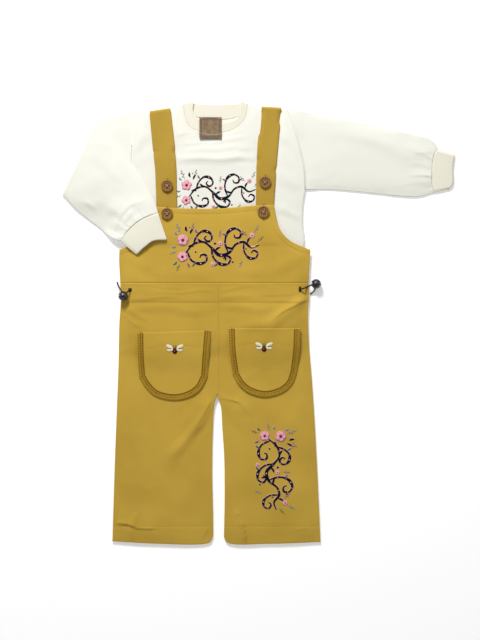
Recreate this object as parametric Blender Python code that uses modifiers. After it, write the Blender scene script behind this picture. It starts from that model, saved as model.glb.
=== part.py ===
"""A child's co-ord set laid flat on a table: a sweatshirt under bib dungarees.

X runs to the viewer's right, Y towards the neck and Z up off the table. The origin is on the
table, under the middle of the set. Sizes and tables are in millimetres, and become metres when a
mesh is made. "Left" and "right" are the viewer's.

Every panel is a grid of cloth shaped to four edges (a Coons patch), laid on what is already on the
table and extruded upwards by the cloth's thickness. The Pile keeps the height of what has been
laid, so each panel rests on those below it. Panels that meet at a seam share their edge's points.
"""

import math

import bmesh
import bpy
import numpy as np

MM = 0.001

# Cloth
JERSEY = 1.2
TWILL = 1.4
RIB = 1.6
SEAM_GAP = 0.3
CELL = 15.0
FLAT_CELL = 30.0
TOP_AIR = 1.6
TROUSER_AIR = 1.8
SLEEVE_AIR = 1.4
AIR_RISE = 26.0
ARMHOLE_STEPS = 8
NECK_STEPS = 12
SHOULDER_STEPS = 5
STRAP_COLUMNS = 3
FOLD_STEPS = 6
TUBE_NOSE = 1.0
BIB_SIDE_STEPS = 3
BIB_ARM_STEPS = 6
BIB_COLUMNS = 16
POCKET_ROWS = 5
POCKET_COLUMNS = 12

# Dungarees
WAIST_Y = 55.5
CROTCH_Y = -103.0
CENTRE_SEAM_X = -57.5
STRAP_END_Y = 132.5
BACK_BIB_TOP_Y = 210.5
TOP_HEM_Y = -10.5

# Buttons, cords and toggles
BUTTON_D = 16.5
BUTTON_H = 2.8
BUTTON_RIM = 1.9
BUTTON_DISH = 1.0
BUTTON_HOLE_D = 2.0
BUTTON_HOLE_PITCH = 4.2
BUTTON_ROUND = 0.8
CORD_D = 2.0
CORD_STEP = 1.6
CORD_EXIT_REACH = 3.0
TOGGLE_D = 13.6
TOGGLE_BAND = (2.4, -0.4)
TOGGLE_BAND_PROUD = 0.4
TOGGLE_GROOVE_END = -1.6
TOGGLE_GROOVE_DEEP = 1.2
TOGGLE_TILT = 25.0
TOGGLE_FOOT = 2.0
TABLE_GAP = 0.05
BORE_D = 2.8

# The pile's own grid
TABLE_HALF_X = 300.0
TABLE_HALF_Y = 340.0
PILE_STEP = 2.5
DRAPE_REACH = 17.0
DRAPE_EASE = 5.0
LABEL_REACH = 1.0
AIR_ROUND = 0.8
SEAT_POINTS = 9

# How finely round shapes are drawn
CURVE_FINE = 24
TURN_SIDES = 20
HOLE_SIDES = 6
BALL_STEPS = 6
CORD_ROUND = 2
SHARP_ANGLE = 40.0

# Trousers, (x, y) down each edge from the waist to the hem.
LEFT_OUTER = [(-193, 55.5), (-192, 28), (-194, 3), (-195.5, -61), (-198, -125), (-201, -208), (-204, -306)]
LEFT_INSEAM = [(-58.5, CROTCH_Y), (-61, -113), (-63.5, -150), (-64.5, -208), (-63.5, -262), (-63, -298)]
LEFT_HEM = [(-204, -306), (-151, -309), (-77, -310), (-67, -307), (-63, -298)]
RIGHT_OUTER = [(70, 55.5), (71, 37), (69.5, 14), (71, -31), (74.5, -75), (78, -125), (82.5, -208), (87, -307)]
RIGHT_INSEAM = [(-56.5, CROTCH_Y), (-53, -113), (-50, -150), (-47.5, -190), (-47, -250), (-48, -300)]
RIGHT_HEM = [(-48, -300), (-43, -308), (16, -309.5), (87, -307)]

# Bib, down each edge from its top corner to the waist, and across its top.
BIB_LEFT_ARM = [(-142.5, 162), (-146, 147), (-150, 133), (-158, 121.5), (-169, 112.5), (-194, 101.5)]
BIB_LEFT_SIDE = [(-194, 101.5), (-194.5, 88), (-193, 55.5)]
BIB_RIGHT_ARM = [(21.5, 164.5), (25, 147), (29, 133), (36.5, 121.5), (47.5, 112.5), (73, 101.5)]
BIB_RIGHT_SIDE = [(73, 101.5), (71.5, 78), (70, 55.5)]
BIB_TOP = [(-142.5, 162), (-115, 159.8), (-58, 159.3), (-3, 163.5), (21.5, 164.5)]
BACK_BIB_LEFT = [(-151, BACK_BIB_TOP_Y), (-150, 165), (-154, 130), (-168, 111), (-190, 101), (-192, 55.5)]
BACK_BIB_RIGHT = [(37, BACK_BIB_TOP_Y), (36, 165), (38, 130), (47, 111), (68, 101), (69, 55.5)]

# Sweatshirt body: side seams up from the hem, armholes up to the shoulder, shoulders and neck.
SIDE_LEFT = [(-168, TOP_HEM_Y), (-168, 60), (-176, 111), (-178, 185.5)]
SIDE_RIGHT = [(47, TOP_HEM_Y), (47, 55), (56, 90), (64.5, 112), (62, 140), (62.5, 165), (65.5, 185.5)]
ARM_LEFT = [(-178, 185.5), (-178, 220), (-174.5, 262), (-168.5, 294.5)]
ARM_RIGHT = [(65.5, 185.5), (64, 215), (58.5, 242), (49.5, 273.5), (40.5, 299.5)]
SHOULDER_LEFT = [(-168.5, 294.5), (-154.5, 291.5), (-120, 296), (-113.5, 301.5), (-104.5, 306)]
SHOULDER_RIGHT = [(-14.5, 306), (-4.5, 304), (2.5, 297), (34.5, 295.5), (40.5, 299.5)]
NECK_FRONT = [
    (-104.5, 306),
    (-103, 291),
    (-97, 276),
    (-85, 268),
    (-57.5, 265),
    (-31, 272),
    (-18, 286.5),
    (-14.5, 306),
]
NECK_FRONT_OPENING = [
    (-90, 308.5),
    (-91, 296),
    (-85, 285.5),
    (-74, 280.5),
    (-57.5, 279.5),
    (-41, 280.5),
    (-30, 285),
    (-24.5, 296),
    (-25, 309.5),
]
NECK_BACK = [(-104.5, 306), (-99, 294), (-82, 286), (-57.5, 283.5), (-34, 286), (-19, 294), (-14.5, 306)]
NECK_BACK_OPENING = [(-98.5, 308), (-80, 305.8), (-57.5, 305), (-34, 305.8), (-18.5, 308)]

# The sleeve that is stretched out, and its cuff.
OUT_UPPER = [
    (40.5, 299.5),
    (64, 295.5),
    (98.5, 288),
    (132.5, 282),
    (176, 272.5),
    (217, 263.5),
    (240, 257),
    (249.5, 248.5),
    (251, 242.5),
]
OUT_LOWER = [(65.5, 185.5), (98.5, 186), (132.5, 183.5), (166.5, 180), (200, 176.5), (225, 176), (246, 181.5)]
OUT_SEAM = [(251, 242.5), (245.5, 234), (243, 213.5), (243.5, 191), (246, 181.5)]
OUT_CUFF_END = [(275, 235.5), (272.5, 216.5), (272.5, 194.5), (268, 186)]

# The sleeve that folds back over the body, and its cuff.
UNDER_UPPER = [(-168.5, 294.5), (-196.5, 290), (-224, 282)]
UNDER_LOWER = [(-178, 185.5), (-225.5, 181.5), (-272, 178)]
OVER_UPPER = [(-224, 282), (-197.5, 246), (-176, 219), (-162, 200), (-145, 170), (-139.5, 152.5)]
OVER_LOWER = [(-272, 178), (-250.5, 155), (-222.5, 132), (-202, 116.5), (-191.5, 114)]
FOLDED_SEAM = [(-139.5, 152.5), (-154.5, 147.5), (-168.5, 140), (-182, 128), (-191.5, 114)]
FOLDED_CUFF_UPPER = [(-139.5, 152.5), (-134, 135), (-127.5, 116)]
FOLDED_CUFF_LOWER = [(-191.5, 114), (-184, 106.5), (-170.5, 95)]
FOLDED_CUFF_END = [(-127.5, 116), (-147, 113.5), (-157, 106.5), (-170.5, 95)]

# Straps: (y, left, right) from behind the bib's corner up to the fold at the shoulder.
STRAP_ROWS = {
    "left": [
        (132.5, -141, -112.5),
        (172, -142.5, -113.5),
        (213, -144, -114.5),
        (250, -148, -117),
        (294.2, -152, -122.5),
    ],
    "right": [
        (132.5, -4, 21.5),
        (164, -3.5, 22),
        (219, -2.5, 25.5),
        (250, -1, 28),
        (297.6, 4.5, 32.5),
    ],
}
# How far each strap's fold lies above the last row at its left and its right side.
STRAP_TILT = {"left": (-2.2, 2.2), "right": (0.8, -0.7)}
STRAP_TILT_RUN = 60.0

# Pockets: down the left side, round the bottom, and up the right side.
POCKET_LEFT = {
    "left": [(-169.5, -14), (-169, -45), (-167, -76)],
    "bottom": [(-167, -76), (-158.5, -90), (-144.5, -103), (-118, -109), (-95, -104), (-80, -93), (-71, -76)],
    "right": [(-66, -11), (-68.5, -41), (-71, -76)],
}
POCKET_RIGHT = {
    "left": [(-42, -7.5), (-40.5, -41), (-36, -73)],
    "bottom": [(-36, -73), (-26, -89), (-12.5, -99), (10, -104.5), (34, -98.5), (48, -86), (54, -70)],
    "right": [(59, -8), (57.5, -41), (54, -70)],
}

LABEL_MIDDLE = (-66.8, 272.2)
LABEL_W = 31.0
LABEL_H = 30.0
LABEL_THICK = 1.0
LABEL_POINTS = 4

# The largest folds: (x, y) of both ends, how high each stands and how wide it is.
FOLDS = [
    # x0, y0, x1, y1, high, wide
    (-66, -112, -118, -186, 1.6, 9),
    (-50, -105, -15, -127, 1.3, 9),
    (-186, -283, -149, -288, 1.4, 8),
    (-26, -268, -15, -303, 1.3, 8),
    (70, 30, 20, -3, 1.3, 11),
    (-184, 8, -160, -12, 1.0, 9),
    (-98, 231, -30, 232, 1.4, 9),
    (222, 240, 243, 234, 1.6, 8),
    (226, 203, 243, 205, 1.6, 8),
    (150, 262, 214, 232, 1.2, 11),
    (-168, 168, -197, 150, 1.6, 9),
    (-176, 155, -190, 122, 1.4, 8),
]

BUTTONS = [
    # name, x, y
    ("button_strap_left", -127.5, 191.0),
    ("button_bib_left", -127.5, 152.0),
    ("button_strap_right", 9.5, 196.0),
    ("button_bib_right", 7.0, 154.5),
]

# Drawcord: where each end leaves the waist casing, its toggle's middle, and the cord's route from
# there through the toggle to its free end. A route's heights count up from the cloth at the exit, or,
# where "table" stands for "cloth", from the table.
CORD_EXITS = {"left": (-179.9, 45.0), "right": (59.0, 46.5)}
TOGGLES = {"left": (-188.6, 37.0, "cloth"), "right": (81.0, 54.0, "table")}
CORD_ROUTES = {
    "left": [
        (-179.5, 45.2, 0.7, "cloth"),
        (-180.8, 44.2, 3.2, "cloth"),
        (-182.4, 42.8, 5.4, "cloth"),
        (-184.6, 41.1, 7.0, "cloth"),
        (-187.7, 40.4, 7.4, "cloth"),
        (-190.2, 42.6, 7.2, "cloth"),
        (-191.8, 45.6, 6.2, "cloth"),
        (-193.6, 48.6, 4.4, "cloth"),
        (-195.4, 51.4, 4.4, "table"),
        (-196.6, 54.0, 2.3, "table"),
        (-197.6, 57.0, 1.15, "table"),
    ],
    "right": [
        (58.6, 46.4, 0.85, "cloth"),
        (60.4, 46.8, 2.5, "cloth"),
        (63.2, 47.6, 3.8, "cloth"),
        (67.5, 49.4, 7.6, "table"),
        (72.0, 51.5, 7.4, "table"),
        (75.6, 52.3, 7.2, "table"),
        (78.4, 51.1, 7.0, "table"),
        (79.5, 48.3, 6.3, "table"),
        (78.8, 45.2, 4.6, "table"),
        (77.0, 42.8, 2.8, "table"),
        (74.8, 40.9, 1.5, "table"),
        (72.6, 39.2, 1.15, "table"),
    ],
}

COLOURS = {
    # name: (red, green, blue), roughness, metallic
    "cream_jersey": ((0.90, 0.88, 0.79), 0.9, 0.0),
    "cream_rib": ((0.84, 0.79, 0.69), 0.9, 0.0),
    "mustard_twill": ((0.50, 0.35, 0.05), 0.85, 0.0),
    "brown_button": ((0.26, 0.10, 0.02), 0.45, 0.0),
    "dark_cord": ((0.02, 0.02, 0.02), 0.8, 0.0),
    "gunmetal": ((0.10, 0.09, 0.10), 0.35, 0.9),
    "tan_label": ((0.38, 0.25, 0.15), 0.8, 0.0),
}


def clear_scene():
    for obj in list(bpy.data.objects):
        bpy.data.objects.remove(obj, do_unlink=True)


def make_materials():
    made = {}
    for name, (colour, roughness, metallic) in COLOURS.items():
        material = bpy.data.materials.new(name)
        material.use_nodes = True
        shader = material.node_tree.nodes["Principled BSDF"]
        shader.inputs["Base Color"].default_value = (*colour, 1.0)
        shader.inputs["Roughness"].default_value = roughness
        shader.inputs["Metallic"].default_value = metallic
        material.diffuse_color = (*colour, 1.0)
        made[name] = material
    return made


# Edges and patches


def curve(points, count):
    """count + 1 places along a smooth curve through the points, evenly spaced by length."""
    points = np.array(points, float)
    if len(points) == 2:
        return points[0] + np.linspace(0, 1, count + 1)[:, None] * (points[1] - points[0])
    padded = np.vstack([2 * points[0] - points[1], points, 2 * points[-1] - points[-2]])
    knots = np.concatenate([[0], np.cumsum(np.sqrt(np.linalg.norm(np.diff(padded, axis=0), axis=1)))])
    dense = []
    for k in range(1, len(padded) - 2):
        for t in np.linspace(knots[k], knots[k + 1], CURVE_FINE, endpoint=False):
            dense.append(_centripetal(padded[k - 1 : k + 3], knots[k - 1 : k + 3], t))
    dense = np.array(dense + [points[-1]])
    length = np.concatenate([[0], np.cumsum(np.linalg.norm(np.diff(dense, axis=0), axis=1))])
    wanted = np.linspace(0, length[-1], count + 1)
    return np.stack([np.interp(wanted, length, dense[:, axis]) for axis in range(dense.shape[1])], 1)


def _centripetal(p, k, t):
    """The point at knot t between p[1] and p[2] of a centripetal Catmull-Rom curve."""
    first = [_between(p[i], p[i + 1], k[i], k[i + 1], t) for i in range(3)]
    second = [_between(first[i], first[i + 1], k[i], k[i + 2], t) for i in range(2)]
    return _between(second[0], second[1], k[1], k[2], t)


def _between(start, end, low, high, t):
    """The place at t on the line that is at start when t is low and at end when t is high."""
    return start + (end - start) * (t - low) / (high - low)


def chain(*runs):
    """Edges joined end to end."""
    return np.vstack([runs[0]] + [run[1:] for run in runs[1:]])


def steps(length, cell):
    return max(2, math.ceil(length / cell))


def shifted(edge, dx, dy=0.0):
    return edge + np.array([dx, dy])


def inset(edge, distance):
    """The edge moved sideways by a distance, to the left of the way it runs."""
    along = np.gradient(edge, axis=0)
    along /= np.linalg.norm(along, axis=1)[:, None]
    return edge + distance * np.stack([-along[:, 1], along[:, 0]], 1)


def shares(edge):
    """How far along the edge each of its places is, from 0 to 1."""
    length = np.concatenate([[0], np.cumsum(np.linalg.norm(np.diff(edge, axis=0), axis=1))])
    return length / length[-1]


def patch(bottom, top, left, right):
    """A grid of places inside four edges: rows run from bottom to top, columns from left to right."""
    u = shares(bottom)[None, :, None]
    v = shares(left)[:, None, None]
    ruled = (1 - v) * bottom[None] + v * top[None] + (1 - u) * left[:, None] + u * right[:, None]
    low = (1 - u) * bottom[0] + u * bottom[-1]
    high = (1 - u) * top[0] + u * top[-1]
    return ruled - (1 - v) * low - v * high


# The pile of cloth on the table


def disc(radius):
    reach = int(radius // PILE_STEP)
    span = range(-reach, reach + 1)
    return [(i, j) for i in span for j in span if math.hypot(i, j) * PILE_STEP <= radius]


class Pile:
    """How high the cloth stands over the table, on a square grid of places."""

    def __init__(self):
        self.columns = int(2 * TABLE_HALF_X / PILE_STEP) + 1
        self.rows = int(2 * TABLE_HALF_Y / PILE_STEP) + 1
        self.height = np.zeros((self.rows, self.columns))

    def support(self, reach=DRAPE_REACH):
        """The height that the next cloth rests at: over every edge below it, and eased down beside it."""
        wide = self._moved(self.height, disc(reach + DRAPE_EASE), np.maximum)
        offsets = disc(DRAPE_EASE)
        return self._moved(wide, offsets, np.add) / len(offsets)

    def air(self, grids, most):
        """The air under the cloth of these grids: none at their outline, most of it well inside, and
        more under the folds."""
        inside = np.zeros_like(self.height)
        for grid in grids:
            flat = np.dstack([grid, np.ones(grid.shape[:2])])
            self._print(inside, flat, np.maximum)
        offsets = disc(AIR_RISE)
        share = self._moved(inside, offsets, np.add) / len(offsets)
        field = most * np.clip(2 * share - 1, 0, 1) ** AIR_ROUND
        y, x = np.mgrid[0 : self.rows, 0 : self.columns] * PILE_STEP
        x, y = x - TABLE_HALF_X, y - TABLE_HALF_Y
        for x0, y0, x1, y1, high, wide in FOLDS:
            run = np.array([x1 - x0, y1 - y0])
            t = ((x - x0) * run[0] + (y - y0) * run[1]) / (run @ run)
            nearest = np.clip(t, 0, 1)
            away = np.hypot(x - x0 - nearest * run[0], y - y0 - nearest * run[1])
            field = field + inside * high * np.exp(-((away / wide) ** 2))
        return field

    def lay(self, grid, top):
        """Adds a grid of cloth, whose upper side is at the heights given."""
        self._print(self.height, np.dstack([grid, top]), np.maximum)

    def at(self, field, grid):
        """The field's value at each place of the grid."""
        x = np.clip((grid[..., 0] + TABLE_HALF_X) / PILE_STEP, 0, self.columns - 1.001)
        y = np.clip((grid[..., 1] + TABLE_HALF_Y) / PILE_STEP, 0, self.rows - 1.001)
        i, j = y.astype(int), x.astype(int)
        fy, fx = y - i, x - j
        low = field[i, j] * (1 - fx) + field[i, j + 1] * fx
        high = field[i + 1, j] * (1 - fx) + field[i + 1, j + 1] * fx
        return low * (1 - fy) + high * fy

    def _moved(self, field, offsets, join):
        """The field joined with itself moved by each offset."""
        reach = max(abs(i) for i, _ in offsets)
        padded = np.pad(field, reach)
        total = None
        for i, j in offsets:
            part = padded[reach + i : reach + i + self.rows, reach + j : reach + j + self.columns]
            total = part.copy() if total is None else join(total, part)
        return total

    def _print(self, field, grid, join):
        """Writes a grid's heights into the field, one triangle of it after another."""
        for quad in quads(*grid.shape[:2]):
            corners = [grid[place] for place in quad]
            for three in (corners[:3], [corners[0], corners[2], corners[3]]):
                self._print_triangle(field, np.array(three), join)

    def _print_triangle(self, field, three, join):
        low = np.floor((three.min(0)[:2] + (TABLE_HALF_X, TABLE_HALF_Y)) / PILE_STEP).astype(int)
        high = np.ceil((three.max(0)[:2] + (TABLE_HALF_X, TABLE_HALF_Y)) / PILE_STEP).astype(int)
        y, x = np.mgrid[low[1] : high[1] + 1, low[0] : high[0] + 1]
        px, py = x * PILE_STEP - TABLE_HALF_X, y * PILE_STEP - TABLE_HALF_Y
        (ax, ay, az), (bx, by, bz), (cx, cy, cz) = three
        twice = (bx - ax) * (cy - ay) - (by - ay) * (cx - ax)
        if abs(twice) < 1e-9:
            return
        s = ((px - ax) * (cy - ay) - (py - ay) * (cx - ax)) / twice
        t = ((bx - ax) * (py - ay) - (by - ay) * (px - ax)) / twice
        slack = PILE_STEP / math.sqrt(abs(twice))
        hit = (s >= -slack) & (t >= -slack) & (s + t <= 1 + slack)
        s, t = np.clip(s, 0, 1), np.clip(t, 0, 1)
        over = np.maximum(s + t, 1)
        z = az + (s / over) * (bz - az) + (t / over) * (cz - az)
        field[y[hit], x[hit]] = join(field[y[hit], x[hit]], z[hit])


def quads(rows, columns):
    for j in range(rows - 1):
        for i in range(columns - 1):
            yield (j, i), (j, i + 1), (j + 1, i + 1), (j + 1, i)


# Cloth solids


def new_collection(name):
    made = bpy.data.collections.new(name)
    bpy.context.scene.collection.children.link(made)
    return made


def new_object(name, shape, collection):
    """A named object from a bmesh whose places are in millimetres."""
    bmesh.ops.recalc_face_normals(shape, faces=shape.faces)
    for vertex in shape.verts:
        vertex.co *= MM
    mesh = bpy.data.meshes.new(name)
    shape.to_mesh(mesh)
    shape.free()
    obj = bpy.data.objects.new(name, mesh)
    collection.objects.link(obj)
    return obj


def finish(name, shape, material):
    obj = new_object(name, shape, PARTS)
    obj.data.materials.append(MATERIALS[material])
    obj.data.shade_smooth()
    obj.data.set_sharp_from_angle(angle=math.radians(SHARP_ANGLE))
    return obj


def walled(outer, inner, closes=False):
    """A closed wall between two grids of places of one size: the first grid as a sheet, extruded to
    the second. Where closes is set, each row's two ends are one place, as round a tube."""
    rows, columns = outer.shape[:2]
    shape = bmesh.new()
    bmesh.ops.create_grid(shape, x_segments=columns - 1, y_segments=rows - 1, size=0.5)
    order = sorted(shape.verts, key=lambda v: (round(v.co.y, 4), round(v.co.x, 4)))
    for vertex, place in zip(order, outer.reshape(-1, 3), strict=True):
        vertex.co = place
    partner = {tuple(vertex.co): place for vertex, place in zip(order, inner.reshape(-1, 3))}
    extruded = bmesh.ops.extrude_face_region(shape, geom=list(shape.faces))["geom"]
    for vertex in [item for item in extruded if isinstance(item, bmesh.types.BMVert)]:
        vertex.co = partner[tuple(vertex.co)]
    if closes:
        ends = {tuple(np.float32(place)) for grid in (outer, inner) for place in grid[:, 0]}
        between = [f for f in shape.faces if all(tuple(np.float32(v.co)) in ends for v in f.verts)]
        bmesh.ops.delete(shape, geom=between, context="FACES_ONLY")
        bmesh.ops.remove_doubles(shape, verts=shape.verts, dist=1e-4)
        loose = [edge for edge in shape.edges if not edge.link_faces]
        bmesh.ops.delete(shape, geom=loose, context="EDGES")
    return shape


def rest(pile, support, grid):
    """Where cloth over this grid lies: on the table, or just above what is already there."""
    held = pile.at(support, grid)
    return held + np.minimum(held, SEAM_GAP)


def panel(name, grid, bottom, thick, material):
    """One thickness of cloth over the grid. Gives the height of its upper side."""
    finish(name, walled(np.dstack([grid, bottom]), np.dstack([grid, bottom + thick])), material)
    return bottom + thick


def flat_tube(name, middle, up, half, thick, material):
    """A sleeve pressed flat, with both long edges rounded over. middle has each row's places
    across, up points out of the upper wall, and half is half the height there."""
    across = middle[:, -1] - middle[:, 0]
    across /= np.linalg.norm(across, axis=1)[:, None]
    rings = []
    for deep in (0.0, thick):
        reach = (half - deep)[..., None]
        low = middle - up * reach
        high = middle + up * reach
        for wall in (low, high):
            wall[:, 0] += across * (TUBE_NOSE + deep)
            wall[:, -1] -= across * (TUBE_NOSE + deep)
        first = (middle[:, 0] + across * deep)[:, None]
        last = (middle[:, -1] - across * deep)[:, None]
        rings.append(np.concatenate([first, low, last, high[:, ::-1], first], axis=1))
    finish(name, walled(rings[0], rings[1], closes=True), material)


def plain_tube(name, grid, bottom, air, thick, material):
    """A flattened tube that rests on the heights given. Gives the height of its upper side."""
    half = thick + (SEAM_GAP + air) / 2
    middle = np.dstack([grid, bottom + half])
    up = np.zeros_like(middle)
    up[..., 2] = 1.0
    flat_tube(name, middle, up, half, thick, material)
    return bottom + 2 * half


# Dungarees


def leg_grid(side, cell):
    """One leg with its half of the seat and the waist: rows run up from the hem."""
    upper = steps(WAIST_Y - CROTCH_Y, cell)
    lower = steps(CROTCH_Y - LEFT_HEM[0][1], cell)
    if side == "left":
        outer, inseam, hem, seam_x = LEFT_OUTER, LEFT_INSEAM, LEFT_HEM, CENTRE_SEAM_X - SEAM_GAP / 2
    else:
        outer, inseam, hem, seam_x = RIGHT_OUTER, RIGHT_INSEAM, RIGHT_HEM, CENTRE_SEAM_X + SEAM_GAP / 2
    columns = steps(abs(seam_x - outer[0][0]), cell)
    crotch = (seam_x, CROTCH_Y)
    outside = curve(outer[::-1], upper + lower)
    inside = chain(curve(inseam[:0:-1] + [crotch], lower), curve([crotch, (seam_x, WAIST_Y)], upper))
    left, right = (outside, inside) if side == "left" else (inside, outside)
    return patch(curve(hem, columns), curve([left[-1], right[-1]], columns), left, right)


def bib_grid():
    left = chain(curve(BIB_LEFT_SIDE[::-1], BIB_SIDE_STEPS), curve(BIB_LEFT_ARM[::-1], BIB_ARM_STEPS))
    right = chain(curve(BIB_RIGHT_SIDE[::-1], BIB_SIDE_STEPS), curve(BIB_RIGHT_ARM[::-1], BIB_ARM_STEPS))
    left[0, 1] = right[0, 1] = WAIST_Y + SEAM_GAP
    return patch(curve([left[0], right[0]], BIB_COLUMNS), curve(BIB_TOP, BIB_COLUMNS), left, right)


def bib_back_grid():
    rows = steps(BACK_BIB_TOP_Y - WAIST_Y, FLAT_CELL / 2)
    columns = steps(BACK_BIB_RIGHT[0][0] - BACK_BIB_LEFT[0][0], FLAT_CELL)
    left = curve(BACK_BIB_LEFT[::-1], rows)
    right = curve(BACK_BIB_RIGHT[::-1], rows)
    left[0, 1] = right[0, 1] = WAIST_Y + SEAM_GAP
    return patch(curve([left[0], right[0]], columns), curve([left[-1], right[-1]], columns), left, right)


def strap_grid(side, low_y):
    """The strap's places from a height up the body to its fold at the shoulder."""
    y_table, left_table, right_table = np.array(STRAP_ROWS[side], float).T
    y = np.linspace(low_y, y_table[-1], steps(y_table[-1] - low_y, CELL) + 1)[:, None]
    across = np.linspace(0, 1, STRAP_COLUMNS + 1)[None, :]
    x = np.interp(y, y_table, left_table) * (1 - across) + np.interp(y, y_table, right_table) * across
    low_tilt, high_tilt = STRAP_TILT[side]
    tilt = low_tilt * (1 - across) + high_tilt * across
    return np.dstack([x, y + tilt * np.clip(1 - (y_table[-1] - y) / STRAP_TILT_RUN, 0, 1)])


def build_strap(pile, side, support):
    """From the back bib along the table, over the shoulder's edge, and down the front."""
    under = strap_grid(side, BACK_BIB_TOP_Y + SEAM_GAP)
    over = strap_grid(side, STRAP_END_Y)
    height = rest(pile, support, over)
    height[-1] = height[-1].max()
    radius = (height[-1, 0] + TWILL) / 2
    outer = [np.dstack([under, np.zeros(under.shape[:2])])]
    inner = [np.dstack([under, np.full(under.shape[:2], TWILL)])]
    for k in range(1, FOLD_STEPS):
        turn = math.pi * k / FOLD_STEPS
        for rows, reach in ((outer, radius), (inner, radius - TWILL)):
            rise = np.full((1, under.shape[1]), radius - reach * math.cos(turn))
            rows.append(np.dstack([shifted(under[-1:], 0, reach * math.sin(turn)), rise]))
    outer.append(np.dstack([over, height + TWILL])[::-1])
    inner.append(np.dstack([over, height])[::-1])
    finish(f"strap_{side}", walled(np.concatenate(outer), np.concatenate(inner)), "mustard_twill")
    return over, height + TWILL


def pocket_grid(edges):
    left = curve(edges["left"][::-1], POCKET_ROWS)
    right = curve(edges["right"][::-1], POCKET_ROWS)
    bottom = curve(edges["bottom"], POCKET_COLUMNS)
    return patch(bottom, curve([left[-1], right[-1]], POCKET_COLUMNS), left, right)


# Sweatshirt


def body_grid(neck):
    """Front or back of the sweatshirt's body: rows run up from the hem."""
    side_rows = steps(SIDE_LEFT[-1][1] - TOP_HEM_Y, CELL)
    left = chain(curve(SIDE_LEFT, side_rows), curve(ARM_LEFT, ARMHOLE_STEPS))
    right = chain(curve(SIDE_RIGHT, side_rows), curve(ARM_RIGHT, ARMHOLE_STEPS))
    shoulders = curve(SHOULDER_LEFT, SHOULDER_STEPS), curve(SHOULDER_RIGHT, SHOULDER_STEPS)
    top = chain(shoulders[0], curve(neck, NECK_STEPS), shoulders[1])
    across = (top[:, :1] - top[0, 0]) / (top[-1, 0] - top[0, 0])
    return patch(left[0] + across * (right[0] - left[0]), top, left, right)


def neck_rib_grid(seam, opening):
    """The band of rib between the neck seam and the neck opening."""
    outer = inset(curve(seam, NECK_STEPS), SEAM_GAP)
    inner = curve(opening, NECK_STEPS)
    return np.stack([outer * (1 - t) + inner * t for t in (0.0, 0.5, 1.0)])


def sleeve_grid(start, end, lower, upper, cell=CELL):
    """A sleeve, a part of one, or a cuff: rows run from its start to its end, across its width."""
    rows = steps(math.dist(lower[0], lower[-1]), cell)
    low, high = curve(lower, rows), curve(upper, rows)
    low[0], high[0], low[-1], high[-1] = start[0], start[-1], end[0], end[-1]
    return patch(low, high, start, end).transpose(1, 0, 2)


def across_sleeve(points):
    return curve(points, ARMHOLE_STEPS)


def build_sleeve_folded(under, under_bottom, under_air, over, over_bottom, over_air):
    """A flattened tube that runs out from the armhole, rolls over its fold and comes back."""
    half_under = JERSEY + (SEAM_GAP + under_air) / 2
    half_over = JERSEY + (SEAM_GAP + over_air) / 2
    low = np.dstack([under, under_bottom + half_under])
    high = np.dstack([over, over_bottom + half_over])
    fold = under[-1]
    along = fold[-1] - fold[0]
    outward = np.array([-along[1], along[0]]) / np.linalg.norm(along)
    radius = (high[0, :, 2] - low[-1, :, 2]) / 2
    centre = (high[0, :, 2] + low[-1, :, 2]) / 2
    middles, ups, halves = [low], [np.zeros_like(low) + (0, 0, 1)], [half_under]
    for k in range(1, FOLD_STEPS):
        turn = math.pi * k / FOLD_STEPS
        out = fold + outward * (radius * math.sin(turn))[:, None]
        row = np.dstack([out[None], (centre - radius * math.cos(turn))[None]])
        middles.append(row)
        ups.append(np.zeros_like(row) + (*(-outward * math.sin(turn)), math.cos(turn)))
        halves.append(half_under[-1:] + (half_over[:1] - half_under[-1:]) * k / FOLD_STEPS)
    middles.append(high)
    ups.append(np.zeros_like(high) - (0, 0, 1))
    halves.append(half_over)
    joined = [np.concatenate(parts) for parts in (middles, ups, halves)]
    flat_tube("sleeve_folded", *joined, JERSEY, "cream_jersey")


def label_grid():
    x, y = LABEL_MIDDLE
    across = np.linspace(x - LABEL_W / 2, x + LABEL_W / 2, LABEL_POINTS)
    return np.dstack(np.meshgrid(across, np.linspace(y - LABEL_H / 2, y + LABEL_H / 2, LABEL_POINTS)))


# Trims


def seat(pile, x, y, radius):
    """The height of the highest cloth under a round piece, and a seam's gap over it."""
    span = np.linspace(-radius, radius, SEAT_POINTS)
    return pile.at(pile.height, np.dstack(np.meshgrid(x + span, y + span))).max() + SEAM_GAP


def turned(name, profile, place, material):
    """A piece turned about its Z axis. The profile runs down its outer side, in (radius, height)."""
    shape = bmesh.new()
    points = [shape.verts.new((radius * MM, 0, height * MM)) for radius, height in profile]
    for pair in zip(points, points[1:]):
        shape.edges.new(pair)
    if profile[0][0] > 0:
        shape.edges.new((points[-1], points[0]))
    mesh = bpy.data.meshes.new(name)
    shape.to_mesh(mesh)
    shape.free()
    obj = bpy.data.objects.new(name, mesh)
    PARTS.objects.link(obj)
    mesh.materials.append(MATERIALS[material])
    obj.location = [value * MM for value in place]
    screw = obj.modifiers.new("turn", "SCREW")
    screw.steps = screw.render_steps = TURN_SIDES
    screw.use_merge_vertices = True
    screw.merge_threshold = 1e-5
    screw.use_smooth_shade = True
    return obj


def cut(obj, cutter):
    """Takes a cutter's shape out of a piece."""
    cutter.hide_render = True
    cutter.display_type = "WIRE"
    boolean = obj.modifiers.new(cutter.name, "BOOLEAN")
    boolean.operation = "DIFFERENCE"
    boolean.object = cutter


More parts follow.
